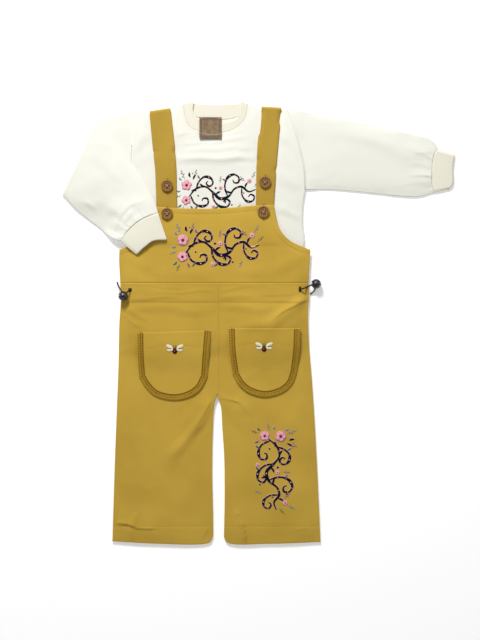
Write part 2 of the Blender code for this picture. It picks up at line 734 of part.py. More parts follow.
def build_button(pile, name, x, y):
    """A dished disc with a raised rim, and four holes for its thread."""
    r, rim = BUTTON_D / 2, BUTTON_D / 2 - BUTTON_RIM
    floor = BUTTON_H - BUTTON_DISH
    profile = [
        (0, floor),
        (rim - BUTTON_ROUND, floor),
        (rim, BUTTON_H),
        (r - BUTTON_ROUND, BUTTON_H),
        (r, BUTTON_H - BUTTON_ROUND),
        (r, BUTTON_ROUND),
        (r - BUTTON_ROUND, 0),
        (0, 0),
    ]
    z = seat(pile, x, y, r)
    button = turned(name, profile, (x, y, z), "brown_button")
    holes = bmesh.new()
    for dx, dy in ((-1, -1), (1, -1), (1, 1), (-1, 1)):
        made = bmesh.ops.create_cone(
            holes,
            cap_ends=True,
            segments=HOLE_SIDES,
            radius1=BUTTON_HOLE_D / 2,
            radius2=BUTTON_HOLE_D / 2,
            depth=3 * BUTTON_H,
        )
        middle = (x + dx * BUTTON_HOLE_PITCH / 2, y + dy * BUTTON_HOLE_PITCH / 2, z)
        bmesh.ops.translate(holes, verts=made["verts"], vec=middle)
    cut(button, new_object(f"{name}_holes", holes, CUTTERS))


def route(side, cloth):
    """The cord's points, every millimetre and a half or so along a smooth curve."""
    heights = {"cloth": cloth, "table": 0.0}
    points = [(x, y, z + heights[start]) for x, y, z, start in CORD_ROUTES[side]]
    length = sum(math.dist(a, b) for a, b in zip(points, points[1:]))
    return curve(points, round(length / CORD_STEP))


def tube(name, points, diameter, collection):
    """A round tube along the points, as a curve object."""
    data = bpy.data.curves.new(name, "CURVE")
    data.dimensions = "3D"
    data.bevel_depth = diameter / 2 * MM
    data.bevel_resolution = CORD_ROUND
    data.use_fill_caps = True
    spline = data.splines.new("POLY")
    spline.points.add(len(points) - 1)
    for point, place in zip(spline.points, points):
        point.co = (*(place * MM), 1.0)
    obj = bpy.data.objects.new(name, data)
    collection.objects.link(obj)
    return obj


def made_mesh(obj):
    """A mesh object in place of a curve object, with its caps welded."""
    bpy.context.view_layer.update()
    mesh = bpy.data.meshes.new_from_object(obj.evaluated_get(bpy.context.evaluated_depsgraph_get()))
    shape = bmesh.new()
    shape.from_mesh(mesh)
    bmesh.ops.remove_doubles(shape, verts=shape.verts, dist=1e-6)
    shape.to_mesh(mesh)
    shape.free()
    name = obj.name
    bpy.data.objects.remove(obj, do_unlink=True)
    made = bpy.data.objects.new(name, mesh)
    CUTTERS.objects.link(made)
    return made


def arc(radius, start, end):
    """(radius, height) places round a ball from one latitude to another."""
    angles = np.linspace(start, end, BALL_STEPS)
    return [(radius * math.cos(angle), radius * math.sin(angle)) for angle in angles]


def toggle_profile():
    """A ball with a proud band round it and a groove beside the band."""
    r = TOGGLE_D / 2
    top, bottom = TOGGLE_BAND
    crown = arc(r, math.pi / 2, math.asin(top / r))
    base = arc(r, math.asin(TOGGLE_GROOVE_END / r), -math.pi / 2)
    crown[0], base[-1] = (0.0, r), (0.0, -r)
    band = [(r + TOGGLE_BAND_PROUD, top - TOGGLE_BAND_PROUD), (r + TOGGLE_BAND_PROUD, bottom)]
    groove = [(r - TOGGLE_GROOVE_DEEP, bottom), (r - TOGGLE_GROOVE_DEEP, TOGGLE_GROOVE_END)]
    return crown + band + groove + base


def build_toggle(pile, side, points):
    """A one-piece ball with a bent bore that the cord passes through."""
    x, y, ground = TOGGLES[side]
    reach = TOGGLE_D / 2 + TOGGLE_BAND_PROUD
    under = seat(pile, x, y, TOGGLE_FOOT) if ground == "cloth" else TABLE_GAP
    ball = turned(f"toggle_{side}", toggle_profile(), (x, y, under + reach), "gunmetal")
    ball.rotation_euler = (math.radians(-90), 0, math.radians(TOGGLE_TILT))
    cut(ball, made_mesh(tube(f"toggle_{side}_bore", points[3:-3], BORE_D, CUTTERS)))


def build_drawcord(pile, side):
    """One end of the waist cord, and the toggle that it passes through."""
    points = route(side, seat(pile, *CORD_EXITS[side], CORD_EXIT_REACH))
    cord = tube(f"cord_{side}", points, CORD_D, PARTS)
    cord.data.materials.append(MATERIALS["dark_cord"])
    build_toggle(pile, side, points)


# The set


def lay_backs(pile):
    """What lies on the table: the trousers' back, the back bib and the straps' back runs."""
    grids = [(f"trouser_back_{side}", leg_grid(side, FLAT_CELL)) for side in ("left", "right")]
    grids.append(("bib_back", bib_back_grid()))
    for name, grid in grids:
        pile.lay(grid, panel(name, grid, np.zeros(grid.shape[:2]), TWILL, "mustard_twill"))
    for side in ("left", "right"):
        grid = strap_grid(side, BACK_BIB_TOP_Y + SEAM_GAP)
        pile.lay(grid, np.full(grid.shape[:2], TWILL))


def lay_sweatshirt(pile):
    """The body, the neck, the stretched sleeve, and what is needed later of the folded one."""
    front, back = body_grid(NECK_FRONT), body_grid(NECK_BACK)
    arm_left = shifted(across_sleeve(ARM_LEFT), -2 * SEAM_GAP)
    arm_right = shifted(across_sleeve(ARM_RIGHT), 2 * SEAM_GAP)
    out_seam = across_sleeve(OUT_SEAM[::-1])
    fold = curve([UNDER_LOWER[-1], UNDER_UPPER[-1]], ARMHOLE_STEPS)
    out = sleeve_grid(arm_right, out_seam, OUT_LOWER, OUT_UPPER)
    under = sleeve_grid(arm_left, fold, UNDER_LOWER, UNDER_UPPER)
    cuff_start = inset(out_seam, -2 * SEAM_GAP)
    cuff_end = across_sleeve(OUT_CUFF_END[::-1])
    lower, upper = [cuff_start[0], cuff_end[0]], [cuff_start[-1], cuff_end[-1]]
    cuff = sleeve_grid(cuff_start, cuff_end, lower, upper, CELL / 2)

    support = pile.support()
    air = pile.air([front, out, under], TOP_AIR)
    back_bottom = rest(pile, support, back)
    back_top = panel("top_back", back, back_bottom, JERSEY, "cream_jersey")
    out_bottom = rest(pile, support, out)
    out_top = plain_tube("sleeve_out", out, out_bottom, pile.at(air, out), JERSEY, "cream_jersey")
    cuff_bottom = rest(pile, support, cuff)
    cuff_top = plain_tube("cuff_out", cuff, cuff_bottom, np.zeros(cuff.shape[:2]), RIB, "cream_rib")
    rib = neck_rib_grid(NECK_BACK, NECK_BACK_OPENING)
    rib_top = panel("neck_rib_back", rib, rest(pile, support, rib), RIB, "cream_rib")
    pile.lay(back, back_top)

    support = pile.support()
    front_bottom = rest(pile, support, front) + pile.at(air, front)
    front_top = panel("top_front", front, front_bottom, JERSEY, "cream_jersey")
    pile.lay(rib, rib_top)
    support = pile.support()
    rib = neck_rib_grid(NECK_FRONT, NECK_FRONT_OPENING)
    rib_top = panel("neck_rib_front", rib, rest(pile, support, rib), RIB, "cream_rib")

    under_bottom, under_air = np.zeros(under.shape[:2]), pile.at(air, under)
    pile.lay(front, front_top)
    pile.lay(rib, rib_top)
    pile.lay(out, out_top)
    pile.lay(cuff, cuff_top)
    pile.lay(under, under_bottom + 2 * JERSEY + SEAM_GAP + under_air)
    return under, under_bottom, under_air


def lay_dungarees_front(pile):
    """The straps' front runs, then the bib and the trousers' front over them, then the pockets."""
    support = pile.support()
    for side in ("left", "right"):
        pile.lay(*build_strap(pile, side, support))
    support = pile.support()
    fronts = [(f"trouser_front_{side}", leg_grid(side, CELL)) for side in ("left", "right")]
    fronts.append(("bib_front", bib_grid()))
    air = pile.air([grid for _, grid in fronts], TROUSER_AIR)
    tops = []
    for name, grid in fronts:
        bottom = rest(pile, support, grid) + pile.at(air, grid)
        tops.append((grid, panel(name, grid, bottom, TWILL, "mustard_twill")))
    for grid, top in tops:
        pile.lay(grid, top)
    support = pile.support()
    for side, edges in (("left", POCKET_LEFT), ("right", POCKET_RIGHT)):
        grid = pocket_grid(edges)
        bottom = rest(pile, support, grid)
        pile.lay(grid, panel(f"pocket_{side}", grid, bottom, TWILL, "mustard_twill"))


def lay_folded_sleeve(pile, under, under_bottom, under_air):
    """The folded sleeve's return run over the body and the bib, and its cuff."""
    fold = curve([OVER_LOWER[0], OVER_UPPER[0]], ARMHOLE_STEPS)
    seam = across_sleeve(FOLDED_SEAM[::-1])
    over = sleeve_grid(fold, seam, OVER_LOWER, OVER_UPPER)
    start = inset(seam, -2 * SEAM_GAP)
    end = across_sleeve(FOLDED_CUFF_END[::-1])
    cuff = sleeve_grid(start, end, FOLDED_CUFF_LOWER, FOLDED_CUFF_UPPER, CELL / 2)
    support = pile.support()
    air = pile.air([over, cuff], SLEEVE_AIR)
    over_bottom, over_air = rest(pile, support, over), pile.at(air, over)
    over_air[0] = under_air[-1]
    build_sleeve_folded(under, under_bottom, under_air, over, over_bottom, over_air)
    cuff_bottom = rest(pile, support, cuff)
    cuff_top = plain_tube("cuff_folded", cuff, cuff_bottom, np.zeros(cuff.shape[:2]), RIB, "cream_rib")
    pile.lay(over, over_bottom + 2 * JERSEY + SEAM_GAP + over_air)
    pile.lay(cuff, cuff_top)


def build_set():
    pile = Pile()
    lay_backs(pile)
    under_run = lay_sweatshirt(pile)
    lay_dungarees_front(pile)
    for name, x, y in BUTTONS:
        build_button(pile, name, x, y)
    label = label_grid()
    panel("neck_label", label, rest(pile, pile.support(LABEL_REACH), label), LABEL_THICK, "tan_label")
    lay_folded_sleeve(pile, *under_run)
    for side in ("left", "right"):
        build_drawcord(pile, side)


clear_scene()
PARTS = new_collection("co_ord_set")
CUTTERS = new_collection("cutters")
MATERIALS = make_materials()
build_set()
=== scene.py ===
"""Looks for a child's co-ord set laid flat: a cream sweatshirt under mustard bib dungarees.

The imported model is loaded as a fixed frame, and each piece of cloth is drawn again over it as a fine
wall with its folds, hems and stitches. Tables and sizes are in millimetres, X to the viewer's right,
Y towards the neck and Z up, and become metres when a mesh is made.
"""

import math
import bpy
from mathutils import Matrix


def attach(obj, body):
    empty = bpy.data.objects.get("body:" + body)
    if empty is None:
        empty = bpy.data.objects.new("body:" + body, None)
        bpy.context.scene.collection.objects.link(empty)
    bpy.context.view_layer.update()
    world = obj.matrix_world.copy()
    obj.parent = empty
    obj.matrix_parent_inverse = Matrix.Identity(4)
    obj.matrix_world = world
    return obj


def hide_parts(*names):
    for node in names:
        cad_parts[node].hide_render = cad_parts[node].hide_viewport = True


bl_info = {
    "name": "Co-ord set laid flat",
    "version": (1, 0, 0),
    "blender": (4, 5, 0),
    "location": "View3D > Sidebar > Co-ord set",
    "description": "Dresses a flat-laid sweatshirt and bib dungarees in cloth, stitches and trims",
    "category": "Object",
}

import bmesh
import bpy
import numpy as np
from bpy.props import FloatProperty, FloatVectorProperty, PointerProperty
from mathutils import Matrix, Vector
from mathutils.bvhtree import BVHTree
from mathutils.kdtree import KDTree

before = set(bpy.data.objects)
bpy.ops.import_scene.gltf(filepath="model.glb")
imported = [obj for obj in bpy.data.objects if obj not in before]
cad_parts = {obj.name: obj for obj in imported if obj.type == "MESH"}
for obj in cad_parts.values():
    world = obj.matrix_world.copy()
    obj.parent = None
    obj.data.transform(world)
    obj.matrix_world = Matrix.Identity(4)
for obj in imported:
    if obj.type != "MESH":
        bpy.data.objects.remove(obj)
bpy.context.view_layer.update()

MM = 0.001
SEAM_GAP = 0.05
NOSE = 1.5
NOSE_TURNS = (0.0, 30.0, 60.0)
RIM_TURNS = ((0.15, 0.2), (0.0, 0.5), (0.15, 0.8))
FOLD_STEPS = 14
HEM_LINE_Y = -285.0
CASING_Y = 28.0
TUCK_WIDE = 3.2
FOLD_RIM = 12.0
BAND_TALL = 14.0
LIGHT_FROM = (-0.36, 0.93)
ARM_FELL_START = 62
STITCH_PITCH = 3.1
STITCH_LONG = 2.5
SIDES = ("left", "right")

# The stage, in metres, watts and shares of white: the picture's middle is given in millimetres.
VIEW_MIDDLE = (-25.5, 3.5)
VIEW_TALL = 0.896
CAMERA_HEIGHT = 4.0
SENSOR_TALL = 24.0
FLOOR_HALF = 3.0
FLOOR_Z = -0.0004
FLOOR_GLOW = 0.26
LAMP_PLACE = (-0.43, 1.5, 1.18)
LAMP_WIDE = 0.5
LAMP_POWER = 34.5
ROOM_LIGHT = 0.4

WAIST_Y = 55.5
CROTCH_Y = -103.0
CENTRE_SEAM_X = -57.5
STRAP_END_Y = 132.5
BACK_BIB_TOP_Y = 210.5
TOP_HEM_Y = -10.5

# The same outlines as the solids have: trousers, (x, y) down each edge from the waist to the hem.
LEFT_OUTER = [(-193, 55.5), (-192, 28), (-194, 3), (-195.5, -61), (-198, -125), (-201, -208), (-204, -306)]
LEFT_INSEAM = [(-58.5, CROTCH_Y), (-61, -113), (-63.5, -150), (-64.5, -208), (-63.5, -262), (-63, -298)]
LEFT_HEM = [(-204, -306), (-151, -309), (-77, -310), (-67, -307), (-63, -298)]
RIGHT_OUTER = [(70, 55.5), (71, 37), (69.5, 14), (71, -31), (74.5, -75), (78, -125), (82.5, -208), (87, -307)]
RIGHT_INSEAM = [(-56.5, CROTCH_Y), (-53, -113), (-50, -150), (-47.5, -190), (-47, -250), (-48, -300)]
RIGHT_HEM = [(-48, -300), (-43, -308), (16, -309.5), (87, -307)]

# Bib, down each edge from its top corner to the waist, and across its top.
BIB_LEFT_ARM = [(-142.5, 162), (-146, 147), (-150, 133), (-158, 121.5), (-169, 112.5), (-194, 101.5)]
BIB_LEFT_SIDE = [(-194, 101.5), (-194.5, 88), (-193, 55.5)]
BIB_RIGHT_ARM = [(21.5, 164.5), (25, 147), (29, 133), (36.5, 121.5), (47.5, 112.5), (73, 101.5)]
BIB_RIGHT_SIDE = [(73, 101.5), (71.5, 78), (70, 55.5)]
BIB_TOP = [(-142.5, 162), (-115, 159.8), (-58, 159.3), (-3, 163.5), (21.5, 164.5)]
BACK_BIB_LEFT = [(-151, BACK_BIB_TOP_Y), (-150, 165), (-154, 130), (-168, 111), (-190, 101), (-192, 55.5)]
BACK_BIB_RIGHT = [(37, BACK_BIB_TOP_Y), (36, 165), (38, 130), (47, 111), (68, 101), (69, 55.5)]

# Sweatshirt body: side seams up from the hem, armholes up to the shoulder, shoulders and neck.
SIDE_LEFT = [(-168, TOP_HEM_Y), (-168, 60), (-176, 111), (-178, 185.5)]
SIDE_RIGHT = [(47, TOP_HEM_Y), (47, 55), (56, 90), (64.5, 112), (62, 140), (62.5, 165), (65.5, 185.5)]
ARM_LEFT = [(-178, 185.5), (-178, 220), (-174.5, 262), (-168.5, 294.5)]
ARM_RIGHT = [(65.5, 185.5), (64, 215), (58.5, 242), (49.5, 273.5), (40.5, 299.5)]
SHOULDER_LEFT = [(-168.5, 294.5), (-154.5, 291.5), (-120, 296), (-113.5, 301.5), (-104.5, 306)]
SHOULDER_RIGHT = [(-14.5, 306), (-4.5, 304), (2.5, 297), (34.5, 295.5), (40.5, 299.5)]
NECK_FRONT = [(-104.5, 306), (-103, 291), (-97, 276), (-85, 268), (-57.5, 265), (-31, 272), (-18, 286.5)]
NECK_FRONT += [(-14.5, 306)]
NECK_FRONT_OPENING = [(-90, 308.5), (-91, 296), (-85, 285.5), (-74, 280.5), (-57.5, 279.5), (-41, 280.5)]
NECK_FRONT_OPENING += [(-30, 285), (-24.5, 296), (-25, 309.5)]
NECK_BACK = [(-104.5, 306), (-99, 294), (-82, 286), (-57.5, 283.5), (-34, 286), (-19, 294), (-14.5, 306)]
NECK_BACK_OPENING = [(-98.5, 308), (-80, 305.8), (-57.5, 305), (-34, 305.8), (-18.5, 308)]

# The sleeve that is stretched out, and its cuff.
OUT_UPPER = [(40.5, 299.5), (64, 295.5), (98.5, 288), (132.5, 282), (176, 272.5), (217, 263.5), (240, 257)]
OUT_UPPER += [(249.5, 248.5), (251, 242.5)]
OUT_LOWER = [(65.5, 185.5), (98.5, 186), (132.5, 183.5), (166.5, 180), (200, 176.5), (225, 176), (246, 181.5)]
OUT_SEAM = [(251, 242.5), (245.5, 234), (243, 213.5), (243.5, 191), (246, 181.5)]
OUT_CUFF_END = [(275, 235.5), (272.5, 216.5), (272.5, 194.5), (268, 186)]

# The sleeve that folds back over the body, and its cuff.
UNDER_UPPER = [(-168.5, 294.5), (-196.5, 290), (-224, 282)]
UNDER_LOWER = [(-178, 185.5), (-225.5, 181.5), (-272, 178)]
OVER_UPPER = [(-224, 282), (-197.5, 246), (-176, 219), (-162, 200), (-145, 170), (-139.5, 152.5)]
OVER_LOWER = [(-272, 178), (-250.5, 155), (-222.5, 132), (-202, 116.5), (-191.5, 114)]
FOLDED_SEAM = [(-139.5, 152.5), (-154.5, 147.5), (-168.5, 140), (-182, 128), (-191.5, 114)]
FOLDED_CUFF_UPPER = [(-139.5, 152.5), (-134, 135), (-127.5, 116)]
FOLDED_CUFF_LOWER = [(-191.5, 114), (-184, 106.5), (-170.5, 95)]
FOLDED_CUFF_END = [(-127.5, 116), (-147, 113.5), (-157, 106.5), (-170.5, 95)]

# Straps: (y, left, right) from behind the bib's corner up to the fold at the shoulder.
STRAP_ROWS = {
    "left": [
        (132.5, -141, -112.5), (172, -142.5, -113.5), (213, -144, -114.5), (250, -148, -117), (294.2, -152, -122.5),
    ],
    "right": [(132.5, -4, 21.5), (164, -3.5, 22), (219, -2.5, 25.5), (250, -1, 28), (297.6, 4.5, 32.5)],
}
STRAP_TILT = {"left": (-2.2, 2.2), "right": (0.8, -0.7)}
STRAP_TILT_RUN = 60.0

# Pockets: down the left side, round the bottom, and up the right side.
POCKET_LEFT = {
    "left": [(-169.5, -14), (-169, -45), (-167, -76)],
    "bottom": [(-167, -76), (-158.5, -90), (-144.5, -103), (-118, -109), (-95, -104), (-80, -93), (-71, -76)],
    "right": [(-66, -11), (-68.5, -41), (-71, -76)],
}
POCKET_RIGHT = {
    "left": [(-42, -7.5), (-40.5, -41), (-36, -73)],
    "bottom": [(-36, -73), (-26, -89), (-12.5, -99), (10, -104.5), (34, -98.5), (48, -86), (54, -70)],
    "right": [(59, -8), (57.5, -41), (54, -70)],
}

LABEL_MIDDLE = (-66.8, 272.2)
LABEL_W = 31.0
LABEL_H = 30.0
LABEL_THICK = 1.0

# Creases in the cloth: (x, y) of both ends, how high each stands and how wide it is.
DUNGAREE_CREASES = [
    (-64, -110, -86, -142, 0.9, 3.0), (-66, -112, -90, -150, 1.0, 6.0), (-86, -143, -122, -190, 1.0, 7.0),
    (-74, -110, -112, -146, 0.5, 7.0), (-52, -104, -30, -112, 0.9, 2.6), (-36, -110, -10, -128, 0.9, 2.8),
    (-47, -112, -26, -142, 0.6, 7.0), (-196, -283, -174, -285, 1.8, 2.2), (-176, -286, -146, -287, 1.7, 2.2),
    (-174, -268, -176, -284, 0.7, 4.0), (-176, -289, -173, -306, 1.3, 2.4), (-28, -262, -22, -283, 2.0, 2.0),
    (-23, -281, -14, -306, 2.2, 2.0), (-76, -302, -66, -284, 0.7, 2.6), (72, -284, 77, -297, 0.7, 2.6),
    (56, -292, 68, -288, 0.5, 3.0), (72, 32, 24, 6, 1.3, 3.1), (70, 34, 20, 2, 1.6, 7.0), (58, 12, 14, -10, 0.9, 9.0),
    (20, 4, -22, -8, 0.6, 8.0), (-190, 12, -168, -8, 0.7, 2.8), (-184, 22, -158, 6, 0.6, 5.0),
    (-184, 50, -96, 49, 0.5, 3.0), (-150, 40, -62, 43, 0.45, 3.0), (-176, 35, -120, 36, 0.4, 3.5),
    (-50, 46, 18, 49, 0.45, 3.0), (-54, 37, -10, 36, 0.45, 4.0), (4, 36, 52, 41, 0.5, 3.0),
    (20, 27, 66, 26, 0.6, 2.6), (-170, 20, -80, 17, 0.45, 5.0), (-44, 22, 26, 20, 0.45, 5.0),
    (-42, -92, -8, -72, 0.35, 7.0), (-140, 155, -112, 150, 0.3, 3.0), (-150, 72, -70, 66, 0.3, 9.0),
    (-40, 68, 40, 76, 0.35, 9.0), (-188, 96, -150, 78, 0.4, 8.0), (66, 96, 30, 78, 0.4, 8.0),
    (-190, -120, -150, -190, 0.5, 12.0), (66, -110, 20, -170, 0.45, 12.0), (-196, -225, -120, -238, 0.35, 12.0),
    (-40, -215, 70, -236, 0.35, 12.0),
]
TOP_CREASES = [
    (-106, 229, -12, 232, 0.8, 4.0), (-98, 221, -40, 222, 0.3, 3.0), (-106, 249, -84, 250, 0.5, 3.0),
    (-92, 241, -30, 244, 0.35, 4.0), (-112, 262, -100, 263.5, 0.6, 2.5), (-60, 254, -22, 259, 0.35, 4.0),
    (-24, 240, -6, 243, 0.4, 3.0), (-48, 260, -28, 266, 0.6, 2.6), (-90, 258, -82, 272, 0.4, 3.0),
    (36, 264, 56, 236, 0.5, 7.0), (30, 206, 58, 190, 0.5, 8.0), (34, 160, 60, 146, 0.6, 6.0),
    (-176, 240, -158, 262, 0.5, 6.0), (-158, 292, -160, 262, 0.35, 3.0),
]
SLEEVE_CREASES = [
    (220, 238, 244, 236, 0.9, 2.4), (216, 203, 243, 205.5, 0.9, 2.4), (212, 222, 242, 219, 0.5, 4.0),
    (200, 190, 242, 193, 0.5, 3.0), (150, 262, 214, 232, 0.3, 8.0), (72, 222, 124, 236, 0.25, 10.0),
    (66, 196, 104, 214, 0.35, 7.0), (96, 200, 184, 194, 0.3, 9.0), (110, 268, 160, 258, 0.4, 9.0),
    (-160, 170, -178, 163, 0.7, 2.6), (-178, 163, -194, 146, 0.9, 2.6), (-194, 146, -200, 122, 0.8, 2.6),
    (-175, 156, -186, 142, 0.6, 3.5), (-242, 169, -226, 158, 0.6, 4.0), (-240, 198, -196, 200, 0.45, 12.0),
    (-214, 226, -190, 196, 0.4, 9.0),
]

# Drawcord: each end's route from its slot, through its toggle, to its free end. The heights of a
# route's first part count up from the cloth at the slot, and those of the rest from the table.
CLOTH_AT_SLOT = {"left": 9.05, "right": 9.39}
SLOTS = {"left": (-179.2, 45.4, 5.2, 6.0), "right": (58.4, 46.4, 3.9, 8.4)}
CORD_D = 2.0
BORE_D = 2.8
CORD_ROUTES = {
    "left": (
        [
            (-178.9, 45.7, -1.2), (-179.5, 45.2, 0.7), (-180.8, 44.2, 3.2), (-182.4, 42.8, 5.4),
            (-184.6, 41.1, 7.0), (-187.7, 40.4, 7.4), (-190.2, 42.6, 7.2), (-191.8, 45.6, 6.2),
            (-193.6, 48.6, 4.4),
        ],
        [(-195.4, 51.4, 4.4), (-196.6, 54.0, 2.3), (-197.6, 57.0, 1.15)],
    ),
    "right": (
        [(57.0, 46.1, -0.9), (58.6, 46.4, 0.85), (60.4, 46.8, 2.5), (63.2, 47.6, 3.8)],
        [
            (67.5, 49.4, 7.6), (72.0, 51.5, 7.4), (75.6, 52.3, 7.2), (78.4, 51.1, 7.0), (79.5, 48.3, 6.3),
            (78.8, 45.2, 4.6), (77.0, 42.8, 2.8), (74.8, 40.9, 1.5), (72.6, 39.2, 1.15),
        ],
    ),
}
TOGGLES = {"left": (-188.6, 37.0, 13.55), "right": (81.0, 54.0, 7.25)}
TOGGLE_D = 13.6
TOGGLE_BAND = (2.4, -0.4)
TOGGLE_BAND_PROUD = 0.4
TOGGLE_GROOVE_END = -1.6
TOGGLE_GROOVE_DEEP = 1.2
TOGGLE_TILT = -20.0

BUTTON_D = 16.5
BUTTON_H = 2.8
BUTTON_RIM = 1.9
BUTTON_DISH = 1.0
HOLE_D = 2.0
HOLE_PITCH = 4.2
BUTTONS = {
    "button_strap_left": (-127.5, 191.0, 8.44),
    "button_bib_left": (-127.5, 152.0, 11.75),
    "button_strap_right": (9.5, 196.0, 8.05),
    "button_bib_right": (7.0, 154.5, 11.2),
}

# The line of stitches that holds each pocket's hem, and the middle of its bee.
POCKET_HEMS = {
    "left": [(-153, -36.5), (-135, -32.2), (-116.8, -31.2), (-98.3, -32), (-80, -35.8)],
    "right": [(-27, -33), (-9, -29.2), (8, -28.2), (26, -29), (45, -32.6)],
}
BEES = {"left": (-116.6, -36.5), "right": (8.1, -33.6)}

# The pieces of cloth that stitches and trims are sewn on.
CLOTH_ON_TOP = ("top_front", "neck_rib_back", "neck_rib_front", "neck_label", "trouser_front_left")
CLOTH_ON_TOP += ("trouser_front_right", "centre_seam_fell", "bib_front", "pocket_left", "pocket_right")
CLOTH_ON_TOP += ("strap_left", "strap_right")

# The printed spray, in its own millimetres: stems, leaves, flowers and twigs.
STEMS = [
    ([(12, 19), (22, 30), (35, 33), (46, 25), (56, 16), (68, 19), (77, 30), (87, 33), (97, 26), (107, 29)], 2.3),
    ([(22, 29), (26, 40), (34, 47), (43, 45), (46, 38), (41, 33.5), (36.5, 38), (39, 41)], 2.1),
    ([(45, 26), (48, 13), (57, 4.5), (67, 5), (70, 12), (65, 15), (60.5, 11.5)], 2.1),
    ([(67, 19), (63, 33), (67, 46), (76, 50.5), (83, 46), (82, 39), (76, 39), (74.5, 43)], 2.1),
    ([(87, 32), (88, 20), (95, 12), (103, 13), (105, 19), (100, 22), (96.5, 18.5)], 1.9),
    ([(14, 21), (20, 9), (31, 5), (39, 9), (38, 16), (32, 16), (30.5, 12.5)], 2.1),
]
LEAVES = [
    # x, y, angle, length, width, ink
    (35, 33, 150, 9, 3.2, "navy"), (50, 21, 35, 9, 3.0, "navy"), (61, 16, -70, 8, 2.8, "navy"),
    (73, 25, 165, 9, 3.0, "navy"), (92, 31, 65, 9, 2.8, "navy"), (28, 44, 120, 7, 2.4, "mauve"),
    (66, 42, 160, 7, 2.4, "mauve"), (54, 6, 215, 7, 2.4, "green"), (24, 7, 235, 7, 2.4, "green"),
    (14, 46, 100, 8, 3.0, "navy"), (18, 43, 60, 8, 2.8, "navy"), (2, 42, 135, 6, 2.2, "slate"),
    (0, 27, 185, 6, 2.4, "slate"), (1, 8, 220, 7, 2.4, "green"), (14, 6, 290, 7, 2.6, "mauve"),
    (15, 27, 0, 8, 3.0, "navy"),
]
FLOWERS = [(8.5, 35, 7.2, 12), (8, 13.5, 6.4, 40), (98, 41, 3.2, 0), (57, 31, 2.8, 30), (47, 4, 2.6, 10)]
TWIGS = [
    (6, 43, 110, 11, "slate"), (20, 46, 75, 9, "mauve"), (1, 21, 200, 8, "slate"), (4, 5, 250, 8, "green"),
    (101, 44, 60, 9, "slate"), (92, 40, 130, 8, "mauve"), (105, 33, 40, 8, "green"), (85, 10, 250, 8, "slate"),
    (56, 38, 80, 8, "mauve"),
]
DOTS = [(50, 31, 1.5), (73, 7, 1.2), (86, 43, 1.2), (25, 20, 1.2), (3, 31, 0.9), (90, 24, 1.0), (17, 52, 0.8)]
# Where each print lies: its own corner, its turn in degrees, its size, and whether it has a pale rim.
PRINTS = {
    "chest_print": ("top_front", (-108.5, 157.5), 0.0, 0.98, False),
    "bib_print": ("bib_front", (-114.5, 77.0), 0.0, 1.08, True),
    "leg_print": ("trouser_front_right", (-5.0, -150.5), -90.0, 1.04, True),
}


# What has been made so far: node groups and finishes by name, pieces and the tree of the cloth
# that is sewn on, and what is known of each sheet's cut.
GROUPS, MATERIALS, LAID, CUTS = {}, {}, {}, []


# Curves and patches of cloth


def curve(points, count):
    """count + 1 places along a smooth curve through the points, evenly spaced by length."""
    points = np.array(points, float)
    if len(points) == 2:
        return points[0] + np.linspace(0, 1, count + 1)[:, None] * (points[1] - points[0])
    padded = np.vstack([2 * points[0] - points[1], points, 2 * points[-1] - points[-2]])
    knots = np.concatenate([[0], np.cumsum(np.sqrt(np.linalg.norm(np.diff(padded, axis=0), axis=1)))])
    dense = []
    for k in range(1, len(padded) - 2):
        near = slice(k - 1, k + 3)
        dense += [centripetal(padded[near], knots[near], t) for t in np.linspace(*knots[k : k + 2], 24, endpoint=False)]
    return spread(np.array(dense + [points[-1]]), count)


def centripetal(p, k, t):
    """The point at knot t between p[1] and p[2] of a centripetal Catmull-Rom curve."""
    first = [between(p[i], p[i + 1], k[i], k[i + 1], t) for i in range(3)]
    second = [between(first[i], first[i + 1], k[i], k[i + 2], t) for i in range(2)]
    return between(second[0], second[1], k[1], k[2], t)


def between(start, end, low, high, t):
    return start + (end - start) * (t - low) / (high - low)


def lengths(line):
    return np.concatenate([[0], np.cumsum(np.linalg.norm(np.diff(line, axis=0), axis=1))])


def spread(line, count):
    """count + 1 places at even lengths along a line of many places."""
    length = lengths(line)
    wanted = np.linspace(0, length[-1], count + 1)
    return np.stack([np.interp(wanted, length, line[:, axis]) for axis in range(line.shape[1])], 1)


def chain(*runs):
    """Edges joined end to end."""
    return np.vstack([runs[0]] + [run[1:] for run in runs[1:]])


def steps(length, cell):
    return max(2, math.ceil(length / cell))


def sideways(edge, distance):
    """The edge moved to the left of the way it runs."""
    along = np.gradient(edge, axis=0)
    along /= np.maximum(np.linalg.norm(along, axis=1), 1e-9)[:, None]
    return edge + distance * np.stack([-along[:, 1], along[:, 0]], 1)


def shares(edge):
    length = lengths(edge)
    return length / length[-1]


def patch(bottom, top, left, right):
    """A grid of places inside four edges: rows run from bottom to top, columns from left to right."""
    u = shares(bottom)[None, :, None]
    v = shares(left)[:, None, None]
    ruled = (1 - v) * bottom[None] + v * top[None] + (1 - u) * left[:, None] + u * right[:, None]
    low = (1 - u) * bottom[0] + u * bottom[-1]
    high = (1 - u) * top[0] + u * top[-1]
    return ruled - (1 - v) * low - v * high


# The grids of each piece


